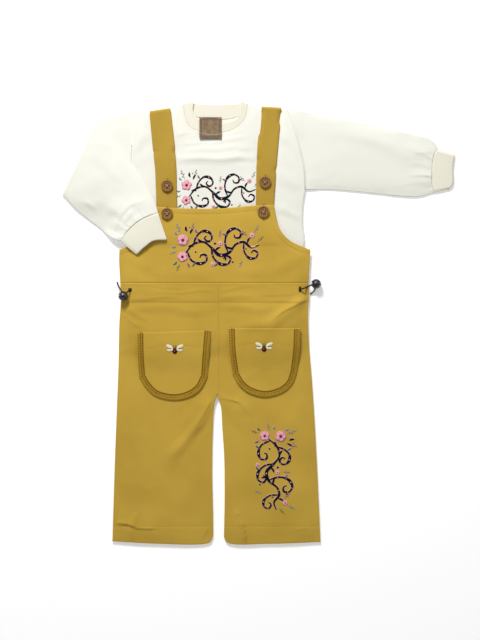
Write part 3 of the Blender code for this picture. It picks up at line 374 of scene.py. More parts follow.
def leg_grid(side, cell):
    """One leg with its half of the seat and the waist: rows run up from the hem."""
    upper, lower = steps(WAIST_Y - CROTCH_Y, cell), steps(CROTCH_Y - LEFT_HEM[0][1], cell)
    if side == "left":
        outer, inseam, foot, seam_x = LEFT_OUTER, LEFT_INSEAM, LEFT_HEM, CENTRE_SEAM_X - SEAM_GAP / 2
    else:
        outer, inseam, foot, seam_x = RIGHT_OUTER, RIGHT_INSEAM, RIGHT_HEM, CENTRE_SEAM_X + SEAM_GAP / 2
    columns, crotch = steps(abs(seam_x - outer[0][0]), cell), (seam_x, CROTCH_Y)
    edges = [
        curve(outer[::-1], upper + lower),
        chain(curve(inseam[:0:-1] + [crotch], lower), curve([crotch, (seam_x, WAIST_Y)], upper)),
    ]
    left, right = edges if side == "left" else edges[::-1]
    return patch(curve(foot, columns), curve([left[-1], right[-1]], columns), left, right)


def bib_grid(cell):
    side, arm = steps(46, cell), steps(80, cell)
    left = chain(curve(BIB_LEFT_SIDE[::-1], side), curve(BIB_LEFT_ARM[::-1], arm))
    right = chain(curve(BIB_RIGHT_SIDE[::-1], side), curve(BIB_RIGHT_ARM[::-1], arm))
    return from_waist(left, right, curve(BIB_TOP, steps(240, cell)))


def bib_back_grid(cell):
    rows = steps(BACK_BIB_TOP_Y - WAIST_Y, cell)
    columns = steps(BACK_BIB_RIGHT[0][0] - BACK_BIB_LEFT[0][0], cell)
    left, right = curve(BACK_BIB_LEFT[::-1], rows), curve(BACK_BIB_RIGHT[::-1], rows)
    return from_waist(left, right, curve([left[-1], right[-1]], columns))


def from_waist(left, right, top):
    """A bib's grid, from just above the waist seam up to its top edge."""
    left[0, 1] = right[0, 1] = WAIST_Y + SEAM_GAP
    return patch(curve([left[0], right[0]], len(top) - 1), top, left, right)


def pocket_grid(edges, cell):
    rows, columns = steps(66, cell), steps(125, cell)
    left, right = curve(edges["left"][::-1], rows), curve(edges["right"][::-1], rows)
    return patch(curve(edges["bottom"], columns), curve([left[-1], right[-1]], columns), left, right)


def body_grid(neck, cell):
    """Front or back of the sweatshirt's body: rows run up from the hem."""
    side_rows, arm_rows = steps(SIDE_LEFT[-1][1] - TOP_HEM_Y, cell), steps(115, cell)
    left = chain(curve(SIDE_LEFT, side_rows), curve(ARM_LEFT, arm_rows))
    right = chain(curve(SIDE_RIGHT, side_rows), curve(ARM_RIGHT, arm_rows))
    shoulders = curve(SHOULDER_LEFT, steps(66, cell)), curve(SHOULDER_RIGHT, steps(57, cell))
    top = chain(shoulders[0], curve(neck, steps(140, cell)), shoulders[1])
    across = (top[:, :1] - top[0, 0]) / (top[-1, 0] - top[0, 0])
    return patch(left[0] + across * (right[0] - left[0]), top, left, right)


def neck_rib_grid(seam, opening, cell):
    """The band of rib between the neck seam and the neck opening."""
    count = steps(140, cell)
    outer, inner = sideways(curve(seam, count), SEAM_GAP), curve(opening, count)
    return np.stack([outer * (1 - t) + inner * t for t in np.linspace(0, 1, steps(BAND_TALL, cell) + 1)])


def sleeve_grid(start, end, lower, upper, cell):
    """A sleeve, a part of one, or a cuff: rows run from its start to its end, across its width."""
    rows = steps(math.dist(lower[0], lower[-1]), cell)
    low, high = curve(lower, rows), curve(upper, rows)
    low[0], high[0], low[-1], high[-1] = start[0], start[-1], end[0], end[-1]
    return patch(low, high, start, end).transpose(1, 0, 2)


def strap_grid(side, low_y, cell):
    """The strap's places from a height up the body to its fold at the shoulder."""
    y_table, left_table, right_table = np.array(STRAP_ROWS[side], float).T
    y = np.linspace(low_y, y_table[-1], steps(y_table[-1] - low_y, cell) + 1)[:, None]
    across = np.linspace(0, 1, steps(29, cell) + 1)[None, :]
    x = np.interp(y, y_table, left_table) * (1 - across) + np.interp(y, y_table, right_table) * across
    low_tilt, high_tilt = STRAP_TILT[side]
    tilt = low_tilt * (1 - across) + high_tilt * across
    return np.dstack([x, y + tilt * np.clip(1 - (y_table[-1] - y) / STRAP_TILT_RUN, 0, 1)])


def outline(grid):
    """The grid's border as one loop, counter-clockwise for a grid whose rows run up."""
    return np.vstack([grid[0, :-1], grid[:-1, -1], grid[-1, :0:-1], grid[:0:-1, 0]])


def depth_in(grid, loop):
    """How far inside the loop each place of the grid is, and below nought outside it."""
    flat = grid.reshape(-1, 2)
    inside = np.zeros(len(flat), bool)
    for a, b in zip(loop, np.roll(loop, -1, axis=0)):
        crosses = (a[1] > flat[:, 1]) != (b[1] > flat[:, 1])
        if abs(b[1] - a[1]) > 1e-12:
            inside ^= crosses & (flat[:, 0] < a[0] + (flat[:, 1] - a[1]) * (b[0] - a[0]) / (b[1] - a[1]))
    far = away(grid, np.vstack([loop, loop[:1]]))
    return np.where(inside.reshape(far.shape), far, -far)


def nearest(grid, places):
    """For each place of the grid, the number of the nearest of some places, and how far it is."""
    tree = KDTree(len(places))
    for number, (x, y) in enumerate(places):
        tree.insert((x, y, 0), number)
    tree.balance()
    index, far = zip(*(tree.find((x, y, 0))[1:] for x, y in grid.reshape(-1, 2)))
    return np.array(index), np.array(far).reshape(grid.shape[:2])


def away(grid, path):
    """How far each place of the grid is from a path."""
    path = np.asarray(path, float)
    return nearest(grid, spread(path, max(2, int(lengths(path)[-1]))))[1]


def ease(value, low, high):
    """0 below low, 1 above high, and smooth between."""
    t = np.clip((value - low) / (high - low), 0, 1)
    return t * t * (3 - 2 * t)


def wander(grid, wave, seed):
    """A gentle unevenness of about one wavelength, from -1 to 1."""
    rng = np.random.default_rng(seed)
    total = np.zeros(grid.shape[:2])
    for _ in range(9):
        angle, phase = rng.uniform(0, math.tau, 2)
        size = wave * rng.uniform(0.7, 1.6)
        total += np.sin((grid[..., 0] * math.cos(angle) + grid[..., 1] * math.sin(angle)) * math.tau / size + phase)
    return np.clip(total / 4.5, -1, 1)


def creased(grid, table):
    """The height that a table of creases adds: each a soft ridge with a shallow valley beside it, or,
    where it is narrow, a tuck that rises slowly and drops at once on the side away from the light."""
    places = grid + 2.5 * np.dstack([wander(grid, 45, 5), wander(grid, 45, 6)])
    total = np.zeros(grid.shape[:2])
    for x0, y0, x1, y1, high, wide in table:
        run = np.array([x1 - x0, y1 - y0], float)
        size = math.hypot(*run)
        normal = np.array([-run[1], run[0]]) / size
        normal *= math.copysign(1, normal @ LIGHT_FROM)
        off = places - (x0, y0)
        side = off @ normal
        fade = np.exp(-((np.clip(np.abs((off @ run) / size**2 - 0.5) - 0.3, 0, None) / 0.28) ** 2))
        if wide < TUCK_WIDE:
            total += high * fade * np.exp(-np.clip(side, 0, None) / (1.8 * wide)) * ease(side, -0.7, 0.7)
        else:
            ridge = np.exp(-((side / wide) ** 2)) - 0.45 * np.exp(-(((side + 1.7 * wide) / wide) ** 2))
            total += high * fade * ridge
    return total


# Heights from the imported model


def joined(*objects):
    """The places, in metres, and the faces of several objects, as one list of each."""
    points, faces = [], []
    for obj in objects:
        faces += [tuple(len(points) + k for k in p.vertices) for p in obj.data.polygons]
        points += [v.co.copy() for v in obj.data.vertices]
    return points, faces


def tree_of(*objects):
    return BVHTree.FromPolygons(*joined(*objects))


def height_on(tree, x, y):
    """The height of the highest surface at a place."""
    place = tree.ray_cast(Vector((x * MM, y * MM, 0.1)), Vector((0, 0, -1)))[0]
    return 0.0 if place is None else place.z / MM


def hits(tree, x, y):
    """Every height at which a line straight down passes through the tree's surface, highest first."""
    found, z = [], 0.1
    while len(found) < 16:
        place = tree.ray_cast(Vector((x * MM, y * MM, z)), Vector((0, 0, -1)))[0]
        if place is None:
            return found
        found.append(place.z / MM)
        z = place.z - 2e-6
    return found


def filled(field):
    """The field with its gaps filled from the places beside them."""
    field = field.copy()
    while np.isnan(field).any():
        padded = np.pad(field, 1, constant_values=np.nan)
        beside = np.stack([padded[:-2, 1:-1], padded[2:, 1:-1], padded[1:-1, :-2], padded[1:-1, 2:]])
        known = ~np.isnan(beside)
        count = known.sum(0)
        mean = np.where(known, beside, 0).sum(0) / np.maximum(count, 1)
        field = np.where(np.isnan(field) & (count > 0), mean, field)
    return field


def smoothed(field, passes):
    for _ in range(passes):
        padded = np.pad(field, 1, mode="edge")
        beside = padded[:-2, 1:-1] + padded[2:, 1:-1] + padded[1:-1, :-2] + padded[1:-1, 2:]
        field = 0.5 * field + 0.125 * beside
    return field


def heights(node, grid, pick=0, least=1, passes=10):
    """One of the node's surfaces over the grid: pick 0 is the highest, and -1 the lowest."""
    tree = tree_of(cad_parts[node])
    field = np.full(grid.shape[:2], np.nan)
    for place in np.ndindex(field.shape):
        found = hits(tree, *grid[place])
        if len(found) >= least:
            field[place] = found[pick]
    return smoothed(filled(field), passes)


# Meshes


def put(name, data, place=(0, 0, 0)):
    """A new object in the scene."""
    obj = bpy.data.objects.new(name, data)
    obj.location = place
    bpy.context.scene.collection.objects.link(obj)
    return obj


def make_object(name, points, faces, uv=None, edge=None):
    """A mesh object from places in millimetres, with its cloth coordinates and its edge shade."""
    mesh = bpy.data.meshes.new(name)
    points = np.array(points, float)
    points[:, 2] = np.maximum(points[:, 2], 0)
    mesh.from_pydata([tuple(p) for p in points * MM], [], faces)
    mesh.validate()
    if uv is not None:
        layer = mesh.uv_layers.new(name="cloth")
        index = np.empty(len(mesh.loops), np.int32)
        mesh.loops.foreach_get("vertex_index", index)
        layer.data.foreach_set("uv", (np.asarray(uv)[index] * MM).ravel())
    if edge is not None:
        mesh.attributes.new("edge", "FLOAT", "POINT").data.foreach_set("value", np.asarray(edge, float))
    shape = bmesh.new()
    shape.from_mesh(mesh)
    bmesh.ops.recalc_face_normals(shape, faces=shape.faces)
    shape.to_mesh(mesh)
    shape.free()
    mesh.shade_smooth()
    return put(name, mesh)


def grid_faces(number, closed=False):
    """Four-sided faces between the numbered places of a grid, and from its last column to its first."""
    if closed:
        number = np.column_stack([number, number[:, 0]])
    quads = np.stack([number[:-1, :-1], number[:-1, 1:], number[1:, 1:], number[1:, :-1]], -1)
    return [tuple(quad) for quad in quads.reshape(-1, 4).tolist()]


def wall_of_cloth(name, grid, top, thick, uv=None, rounding=0.5):
    """A sheet of cloth over the grid with a rounded edge all round, its upper side at the heights given."""
    rows, columns = grid.shape[:2]
    count = rows * columns
    number = np.arange(count).reshape(rows, columns)
    ring, loop, rim = outline(grid), outline(number[..., None]).ravel(), outline(top[..., None]).ravel()
    around = np.roll(ring, -1, axis=0) - np.roll(ring, 1, axis=0)
    around /= np.maximum(np.linalg.norm(around, axis=1), 1e-9)[:, None]
    x, y = ring.T
    turn = np.sign((x * np.roll(y, -1) - y * np.roll(x, -1)).sum())
    inward = turn * np.stack([-around[:, 1], around[:, 0]], 1)
    index, far = nearest(grid, ring)
    pull = rounding * thick * np.clip(1 - far / (2.5 * thick), 0, 1)
    flat = grid + inward[index].reshape(rows, columns, 2) * pull[..., None]
    points = [np.dstack([flat, top]).reshape(-1, 3), np.dstack([flat, top - thick]).reshape(-1, 3)]
    for share_in, share_down in RIM_TURNS:
        points.append(np.column_stack([ring + inward * share_in * rounding * 2 * thick, rim - share_down * thick]))
    turns, marks = len(RIM_TURNS), grid if uv is None else uv
    rings = [loop] + [2 * count + k * len(loop) + np.arange(len(loop)) for k in range(turns)] + [loop + count]
    faces = grid_faces(number) + grid_faces(number + count) + grid_faces(np.array(rings), closed=True)
    uvs = np.vstack([marks.reshape(-1, 2)] * 2 + [outline(marks)] * turns)
    # The edge mark is 1 at the rim and fades inward. The tone darkens the cloth there, as rubbed wear and as painted
    # shade.
    edge = np.concatenate([np.tile(np.exp(-far / 3.0).ravel(), 2), np.ones(turns * len(loop))])
    return make_object(name, np.vstack(points), faces, uvs, edge)


def tube_of_cloth(name, middle, up, half, thick):
    """A sleeve pressed flat with both long edges rounded over, open at both ends. middle has each
    row's places across, up points out of the upper wall, and half is half the height there."""
    across = middle[:, -1] - middle[:, 0]
    across /= np.linalg.norm(across, axis=1)[:, None]
    strides = np.linalg.norm(np.diff(middle, axis=1), axis=2)
    widths = np.concatenate([np.zeros((len(middle), 1)), np.cumsum(strides, axis=1)], 1)
    along = lengths(middle[:, middle.shape[1] // 2])
    rings, marks = [], None
    for deep in (0.0, thick):
        reach = half - deep
        drawn = deep + NOSE
        share = np.clip((widths[:, -1:] - widths) / (4 * drawn), 0, 1) - np.clip(widths / (4 * drawn), 0, 1)
        flat = middle + across[:, None] * (drawn * share)[..., None]

        def nose(end, sign, side):
            """One quarter of a long edge, from its outermost place towards the upper or lower wall."""
            places = []
            for angle in np.radians(NOSE_TURNS):
                inset = across * sign * (deep + NOSE * (1 - math.cos(angle)))
                rise = up[:, end] * (side * reach[:, end] * math.sin(angle))[:, None]
                places.append((middle[:, end] + inset + rise, widths[:, end]))
            return places

        low = list(zip((flat - up * reach[..., None]).transpose(1, 0, 2), widths.T))
        high = list(zip((flat + up * reach[..., None]).transpose(1, 0, 2), widths.T))
        ring = nose(0, 1, -1) + low + nose(-1, -1, -1)[::-1] + nose(-1, -1, 1)[1:] + high[::-1] + nose(0, 1, 1)[:0:-1]
        rings.append(np.stack([place for place, _ in ring], 1))
        marks = np.stack([mark for _, mark in ring], 1)
    rows, columns = marks.shape
    uv = np.dstack([marks, np.repeat(along[:, None], columns, 1)]).reshape(-1, 2)
    number = np.arange(rows * columns).reshape(rows, columns)
    inside = number + rows * columns
    faces = grid_faces(number, closed=True) + grid_faces(inside, closed=True)
    for j in (0, -1):
        faces += grid_faces(np.stack([number[j], inside[j]]), closed=True)
    edge = np.repeat(np.exp(-np.minimum(along, along[-1] - along) / 3.0)[:, None], columns, 1).ravel()
    return make_object(name, np.stack(rings).reshape(-1, 3), faces, np.tile(uv, (2, 1)), np.tile(edge, 2))


def strip_of_cloth(name, outer, inner):
    """A wall between two grids of one size, with its long edges rounded."""
    rows, columns = outer.shape[:2]
    across = outer[:, -1] - outer[:, 0]
    across /= np.linalg.norm(across, axis=1)[:, None]
    thick = float(np.linalg.norm(outer[0, 0] - inner[0, 0]))
    left, right = (outer[:, 0] + inner[:, 0]) / 2, (outer[:, -1] + inner[:, -1]) / 2
    for grid in (outer, inner):
        grid[:, 0] += across * thick / 2
        grid[:, -1] -= across * thick / 2
    places = np.stack([*outer.transpose(1, 0, 2), right, *inner.transpose(1, 0, 2)[::-1], left], 1)
    width = lengths(outer[0])
    marks = np.concatenate([width, [width[-1]], width[::-1], [0]])
    along = lengths(outer[:, columns // 2])
    count = len(marks)
    uv = np.dstack([np.repeat(marks[None], rows, 0), np.repeat(along[:, None], count, 1)]).reshape(-1, 2)
    number = np.arange(rows * count).reshape(rows, count)
    faces = grid_faces(number, closed=True) + [tuple(number[0].tolist()), tuple(number[-1, ::-1].tolist())]
    edge = np.zeros((rows, count))
    edge[:, [0, columns - 1, columns, columns + 1, count - 2, count - 1]] = 1
    return make_object(name, places.reshape(-1, 3), faces, uv, edge.ravel())


def dress(obj, material, *nodes, slot=None):
    """Gives a piece its finish, and makes it ride and stand for its nodes."""
    obj.data.materials.clear()
    obj.data.materials.append(MATERIALS[material])
    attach(obj, "root")
    if nodes:
        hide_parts(*nodes)
    return obj


def lay(obj, material, node, flat, area, held="laid", slot=None):
    """Dresses a sheet, and keeps its cut in CUTS."""
    LAID[node] = dress(obj, material, node, slot=slot or material)
    CUTS.append((obj, flat, area, held))


def felled(name, over, grid, rise, material, level=False):
    """A seam pressed flat: a narrow strip over the join of some pieces, sloped from edge to edge or level."""
    LAID["tree"] = tree_of(*(LAID[piece] for piece in over))
    first, last = (np.array([[cloth_height(*row[end])] for row in grid]) for end in (0, -1))
    slope = np.linspace(0, 1, grid.shape[1])
    top = np.maximum(first, last) + 0 * slope if level else first * (1 - slope) + last * slope
    obj = wall_of_cloth(name, grid, smoothed(top, 4) + rise, 0.6, rounding=0.3)
    LAID[name] = dress(obj, material, slot=material)


# Thread


def model_stitch():
    """One stitch as a small pillow: its places, from -0.5 to 0.5 each way, and its faces."""
    bpy.ops.mesh.primitive_uv_sphere_add(segments=6, ring_count=4, radius=0.5)
    obj = bpy.context.object
    bpy.ops.object.mode_set(mode="EDIT")
    shape = bmesh.from_edit_mesh(obj.data)
    for vertex in shape.verts:
        vertex.select = 0.3 < abs(vertex.co.z) < 0.4
    shape.select_flush_mode()
    bmesh.update_edit_mesh(obj.data)
    bpy.ops.transform.resize(value=(1.25, 1.25, 1.12))
    bpy.ops.object.mode_set(mode="OBJECT")
    places = np.array([(v.co.z, v.co.x, v.co.y) for v in obj.data.vertices])
    faces = [tuple(p.vertices) for p in obj.data.polygons]
    mesh = obj.data
    bpy.data.objects.remove(obj, do_unlink=True)
    bpy.data.meshes.remove(mesh)
    return places, faces


def cloth_height(x, y):
    """The height of the highest cloth at a place."""
    return height_on(LAID["tree"], x, y)


def many_in_one(name, points, faces, kinds, materials):
    """A piece of many small shapes, each with the number of its finish among a few."""
    obj = make_object(name, points, faces)
    for material in materials:
        obj.data.materials.append(MATERIALS[material])
    obj.data.polygons.foreach_set("material_index", np.array(kinds, np.int32))
    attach(obj, "root")


def sew(name, groups):
    """One piece of many stitches on the cloth. Each thread has its stitches: where each starts and
    ends, how wide and high it is, and how far it stands off the cloth."""
    if "stitch" not in LAID:
        LAID["stitch"] = model_stitch()
    unit, unit_faces = LAID["stitch"]
    a, b, c = unit.T
    points, faces, kinds = [], [], []
    for kind, stitches in enumerate(groups.values()):
        for x0, y0, x1, y1, wide, high, lift in stitches:
            size = math.hypot(x1 - x0, y1 - y0)
            if size < 0.05:
                continue
            run = np.array([x1 - x0, y1 - y0]) / size
            z0, z1 = cloth_height(x0, y0), cloth_height(x1, y1)
            zm = max(cloth_height((x0 + x1) / 2, (y0 + y1) / 2), (z0 + z1) / 2)
            x = (x0 + x1) / 2 + a * size * run[0] - b * wide * run[1]
            y = (y0 + y1) / 2 + a * size * run[1] + b * wide * run[0]
            z = zm + a * (z1 - z0) + 2 * a * a * (z0 + z1 - 2 * zm) + c * high + lift
            base = len(points) * len(unit)
            points.append(np.column_stack([x, y, z]))
            faces += [tuple(base + k for k in face) for face in unit_faces]
            kinds += [kind] * len(unit_faces)
    many_in_one(name, np.vstack(points), faces, kinds, groups)


def run_of(path, pitch, long, wide, high, lift=0.05, sides=(0.0, 0.0), start=0.0):
    """Stitches one after another along a path, each from one distance beside it to another."""
    path = np.asarray(path, float)
    length = lengths(path)

    def at(s):
        return np.array([np.interp(s, length, path[:, axis]) for axis in (0, 1)])

    made = []
    for s in np.arange(start, length[-1] - long, pitch):
        run = at(s + long + 0.5) - at(s - 0.5)
        run /= max(np.linalg.norm(run), 1e-9)
        side = np.array([-run[1], run[0]])
        made.append((*(at(s) + side * sides[0]), *(at(s + long) + side * sides[1]), wide, high, lift))
    return made


def seam_of(path, thread):
    """The set's plain line of stitches along a path."""
    return run_of(path, STITCH_PITCH, STITCH_LONG, thread, thread * 0.8, 0.02)


def chain_of(path, wide, thread, pitch, lift):
    """A row of chain stitches: pairs of threads that meet in a point, like a fine braid."""
    made = []
    for side in (-wide, wide):
        made += run_of(path, pitch, pitch * 1.35, thread, thread, lift, (side * 0.42, side * 0.06))
    return made


def turned(x, y, angle):
    """A place turned about nought by an angle in radians."""
    c, s = math.cos(angle), math.sin(angle)
    return x * c - y * s, x * s + y * c


def satin(x, y, long, wide, angle, thread, lift, gap=0.55):
    """An oval filled with stitches side by side, laid across it."""
    made = []
    for s in np.arange(-long / 2 + thread / 2, long / 2, gap * thread):
        reach = wide / 2 * math.sqrt(max(0.0, 1 - (2 * s / long) ** 2))
        if reach > thread / 2:
            ends = [turned(s, side * reach, math.radians(angle)) for side in (-1, 1)]
            made.append((*(place + middle for end in ends for place, middle in zip(end, (x, y))), thread, thread, lift))
    return made


# Cord


def rope(name, points, radius, braid=0.06, sides=24, ends=0.5):
    """A round cord along the points, with the crossing ridges of its braid. points are in millimetres."""
    along = np.gradient(points, axis=0)
    along /= np.linalg.norm(along, axis=1)[:, None]
    first = np.cross(along[0], (0, 0, 1.0))
    first /= np.linalg.norm(first)
    angle = np.linspace(0, math.tau, sides, endpoint=False)
    reach = lengths(points)
    rings, uv = [], []
    for place, run, far in zip(points, along, reach):
        first = first - run * (first @ run)
        first /= np.linalg.norm(first)
        second = np.cross(run, first)
        weave = np.abs(np.sin(3 * angle + far * 2.4)) + np.abs(np.sin(3 * angle - far * 2.4))
        close = math.sqrt(min(1.0, min(far, reach[-1] - far) / ends + 0.12))
        size = (radius * (1 - braid) + radius * braid * (weave - 0.6)) * close
        rings.append(place + np.outer(np.cos(angle) * size, first) + np.outer(np.sin(angle) * size, second))
        uv.append(np.column_stack([angle * radius, np.full(sides, far)]))
    number = np.arange(len(points) * sides).reshape(-1, sides)
    faces = [tuple(number[0, ::-1].tolist()), tuple(number[-1].tolist())] + grid_faces(number, closed=True)
    return make_object(name, np.vstack(rings), faces, np.vstack(uv))


def cord_line(side, step):
    """Places along a cord's free end, about one step apart."""
    over_cloth, over_table = CORD_ROUTES[side]
    points = np.array([(x, y, z + CLOTH_AT_SLOT[side]) for x, y, z in over_cloth] + over_table)
    return curve(points, round(lengths(points)[-1] / step))


# Prints


class Ink:
    """Gathers the thin shapes of one print, each in its colour, as they lie on one piece of cloth."""

    def __init__(self, cloth, corner, turn, size):
        self.tree = tree_of(LAID[cloth])
        self.corner, self.size, self.angle = corner, size, math.radians(turn)
        self.points, self.faces, self.kinds, self.inks = [], [], [], []

    def place(self, u, v, lift):
        u, v = turned(u, v, self.angle)
        x, y = self.corner[0] + self.size * u, self.corner[1] + self.size * v
        return x, y, height_on(self.tree, x, y) + lift

    def shape(self, top, faces, rim, ink, lift):
        """A closed shape: its top, and a wall down into the cloth from the places along its rim."""
        if ink not in self.inks:
            self.inks.append(ink)
        base, low, count = len(self.points), len(self.points) + len(top), len(rim)
        self.points += [self.place(*place, lift) for place in top] + [self.place(*top[k], -0.25) for k in rim]
        made = [tuple(base + k for k in face) for face in faces]
        for k in range(count):
            n = (k + 1) % count
            made.append((base + rim[k], low + k, low + n, base + rim[n]))
        made.append(tuple(range(low + count - 1, low - 1, -1)))
        self.faces += made
        self.kinds += [self.inks.index(ink)] * len(made)

    def blob(self, loop, ink, lift):
        """A filled shape from its outline, with a middle point and one ring between."""
        middle, count = loop.mean(0), len(loop)
        faces = []
        for k in range(count):
            n = (k + 1) % count
            faces += [(0, 1 + k, 1 + n), (1 + k, 1 + count + k, 1 + count + n, 1 + n)]
        top = np.vstack([[middle], (loop + middle) / 2, loop])
        self.shape(top, faces, range(1 + count, 1 + 2 * count), ink, lift)

    def stroke(self, points, wide, ink, lift, least):
        """A stem, thin at its ends and full between, as a pen draws it."""
        line = curve(points, max(8, round(lengths(np.array(points, float))[-1] / 1.1)))
        count = len(line)
        t = np.linspace(0, 1, count)
        swell = wide * (least + (1 - least) * np.sin(math.pi * t) ** 0.8 * (0.72 + 0.28 * np.sin(5.2 * math.pi * t)))
        top = np.vstack([sideways(line, side * swell[:, None] / 2) for side in (1, -1)])
        faces = [(k, count + k, count + k + 1, k + 1) for k in range(count - 1)]
        self.shape(top, faces, [*range(count - 1, -1, -1), *range(count, 2 * count)], ink, lift)

    def leaf(self, x, y, angle, long, wide, ink, lift):
        t = np.linspace(0, 1, 11)
        swell, bend = wide / 2 * np.sin(math.pi * t) ** 0.75, 0.12 * long * np.sin(math.pi * t)
        along, across = np.append(t, t[-2:0:-1]) * long, np.append(bend + swell, (bend - swell)[-2:0:-1])
        self.blob(np.column_stack(turned(along, across, math.radians(angle))) + (x, y), ink, lift)

    def flower(self, x, y, radius, turn, lift):
        for k in range(5):
            angle = turn + k * 72
            u, v = turned(0.12 * radius, 0.0, math.radians(angle))
            for ink, size, rise in (("rose", 1.0, 0.0), ("blush", 0.86, 0.02)):
                long = radius * size
                self.leaf(x + u, y + v, angle - 7, long, 0.95 * long, ink, lift + rise + 0.004 * k)
        self.round(x, y, 0.3 * radius, "crimson", lift + 0.06)
        self.round(x - 0.05 * radius, y + 0.06 * radius, 0.13 * radius, "navy", lift + 0.08)

    def round(self, x, y, radius, ink, lift):
        self.blob(ring_round(x, y, radius, 14), ink, lift)

    def twig(self, x, y, angle, long, ink, lift):
        foot, run = np.array([x, y]), np.array(turned(long, 0.0, math.radians(angle)))
        self.stroke([foot, foot + run / 2 + (0.4, -0.4), foot + run], 0.7, ink, lift, 0.6)
        for share, lean in ((0.35, 48), (0.55, -48), (0.78, 42), (1.0, 0)):
            self.leaf(*(foot + run * share), angle + lean, long * 0.32, long * 0.15, ink, lift)


# Shader nodes


def fill(tree, node, inputs):
    """The node, with each input joined to a socket or set to a value; three numbers are a colour."""
    for key, value in inputs.items():
        if isinstance(value, bpy.types.NodeSocket):
            tree.links.new(value, node.inputs[key])
        else:
            node.inputs[key].default_value = (*value, 1) if hasattr(value, "__len__") and len(value) == 3 else value
    return node


def add(tree, kind, inputs=None, **settings):
    """A node with its settings, and its inputs set or joined."""
    node = tree.nodes.new(kind)
    for name, value in settings.items():
        setattr(node, name, value)
    return fill(tree, node, inputs or {})


def maths(tree, operation, first, second=0.0, third=0.5):
    return add(tree, "ShaderNodeMath", {0: first, 1: second, 2: third}, operation=operation).outputs[0]


def times(tree, first, second):
    return maths(tree, "MULTIPLY", first, second)


def plus(tree, first, second):
    return maths(tree, "ADD", first, second)


def mix(tree, share, first, second):
    return add(tree, "ShaderNodeMix", {0: share, 6: first, 7: second}, data_type="RGBA").outputs[2]


def noise(tree, vector, scale, detail=2.0, distortion=0.0):
    inputs = {"Vector": vector, "Scale": scale, "Detail": detail, "Distortion": distortion}
    return add(tree, "ShaderNodeTexNoise", inputs).outputs[0]


def ranged(tree, value, low, high, start=0.0, end=1.0):
    inputs = {"Value": value, "From Min": low, "From Max": high, "To Min": start, "To Max": end}
    return add(tree, "ShaderNodeMapRange", inputs).outputs[0]


def bumped(tree, height, distance, strength=0.6):
    return add(tree, "ShaderNodeBump", {"Height": height, "Distance": distance, "Strength": strength}).outputs[0]


def grouped(tree, group, inputs):
    return add(tree, "ShaderNodeGroup", inputs, node_tree=GROUPS[group]).outputs


def on_cloth(tree):
    return add(tree, "ShaderNodeUVMap", uv_map="cloth").outputs[0]


def in_object(tree):
    return add(tree, "ShaderNodeTexCoord").outputs["Object"]


def new_group(name, inputs, outputs):
    """An empty node group with named inputs and outputs: None stands for a vector, a tuple for a colour."""
    tree = bpy.data.node_groups.new(name, "ShaderNodeTree")
    kinds = {type(None): "NodeSocketVector", float: "NodeSocketFloat", tuple: "NodeSocketColor"}
    for label, value in inputs.items():
        socket = tree.interface.new_socket(label, in_out="INPUT", socket_type=kinds[type(value)])
        if value is not None:
            socket.default_value = value
    for label in outputs:
        kind = kinds[tuple if label == "Colour" else float]
        tree.interface.new_socket(label, in_out="OUTPUT", socket_type=kind)
    return tree, tree.nodes.new("NodeGroupInput").outputs, tree.nodes.new("NodeGroupOutput")


def twill_group():
    """Slanting ridges of a twill weave, crossed by its threads."""
    tree, start, end = new_group("twill weave", {"Vector": None, "Pitch": 0.0008}, ("Height", "Shade"))
    x, y, _ = add(tree, "ShaderNodeSeparateXYZ", {0: start["Vector"]}).outputs
    turn = maths(tree, "DIVIDE", math.tau, start["Pitch"])
    ridges = maths(tree, "SINE", times(tree, plus(tree, x, y), turn))
    threads = maths(tree, "SINE", times(tree, times(tree, x, 2.0), turn))
    height = plus(tree, ridges, times(tree, threads, 0.35))
    fill(tree, end, {"Height": height, "Shade": maths(tree, "MULTIPLY_ADD", ridges, 0.5, 0.5)})
    return tree


def knit_group():
    """Columns of knitted stitches: deep ones make a rib, and fine ones a jersey."""
    inputs = {"Vector": None, "Column": 0.001, "Course": 0.0008}
    tree, start, end = new_group("knit columns", inputs, ("Height", "Shade"))
    x, y, _ = add(tree, "ShaderNodeSeparateXYZ", {0: start["Vector"]}).outputs
    across = maths(tree, "DIVIDE", times(tree, x, math.tau), start["Column"])
    up = maths(tree, "DIVIDE", times(tree, y, math.tau), start["Course"])
    columns = maths(tree, "COSINE", across)
    bend = maths(tree, "ABSOLUTE", maths(tree, "SINE", times(tree, across, 0.5)))
    loops = maths(tree, "SINE", plus(tree, up, times(tree, bend, 2.5)))
    height = plus(tree, columns, times(tree, loops, 0.3))
    fill(tree, end, {"Height": height, "Shade": maths(tree, "MULTIPLY_ADD", columns, 0.5, 0.5)})
    return tree


def tone_group():
    """A cloth's colour with its cloudiness, its lint, and its edges darkened: partly rubbed wear, partly painted shade
    where the cloth turns under.
    """
    inputs = {"Vector": None, "Colour": (0.5, 0.5, 0.5, 1), "Darker": (0.4, 0.4, 0.4, 1), "Weave": 0.5}
    inputs |= {"Weave Depth": 0.1, "Cloud": 0.4, "Cloud Size": 14.0, "Rub": 0.1}
    tree, start, end = new_group("cloth tone", inputs, ("Colour", "Height", "Roughness"))
    cloud, lint = noise(tree, start["Vector"], start["Cloud Size"], 3.0), noise(tree, start["Vector"], 900.0)
    share = times(tree, ranged(tree, cloud, 0.35, 0.65), start["Cloud"])
    share = plus(tree, share, times(tree, start["Weave"], start["Weave Depth"]))
    share = plus(tree, share, times(tree, lint, 0.12))
    clamped = add(tree, "ShaderNodeClamp", {0: share}).outputs[0]
    mixed = mix(tree, clamped, start["Colour"], start["Darker"])
    # Towards the edge mark the colour goes to the darker tone: partly rubbed wear, partly painted shade at the rims
    # where the cloth curls under.
    worn = add(tree, "ShaderNodeAttribute", attribute_name="edge").outputs["Fac"]
    final = mix(tree, times(tree, worn, start["Rub"]), mixed, start["Darker"])
    rough = maths(tree, "MULTIPLY_ADD", cloud, 0.1, 0.82)
    fill(tree, end, {"Colour": final, "Height": times(tree, lint, 0.5), "Roughness": rough})
    return tree


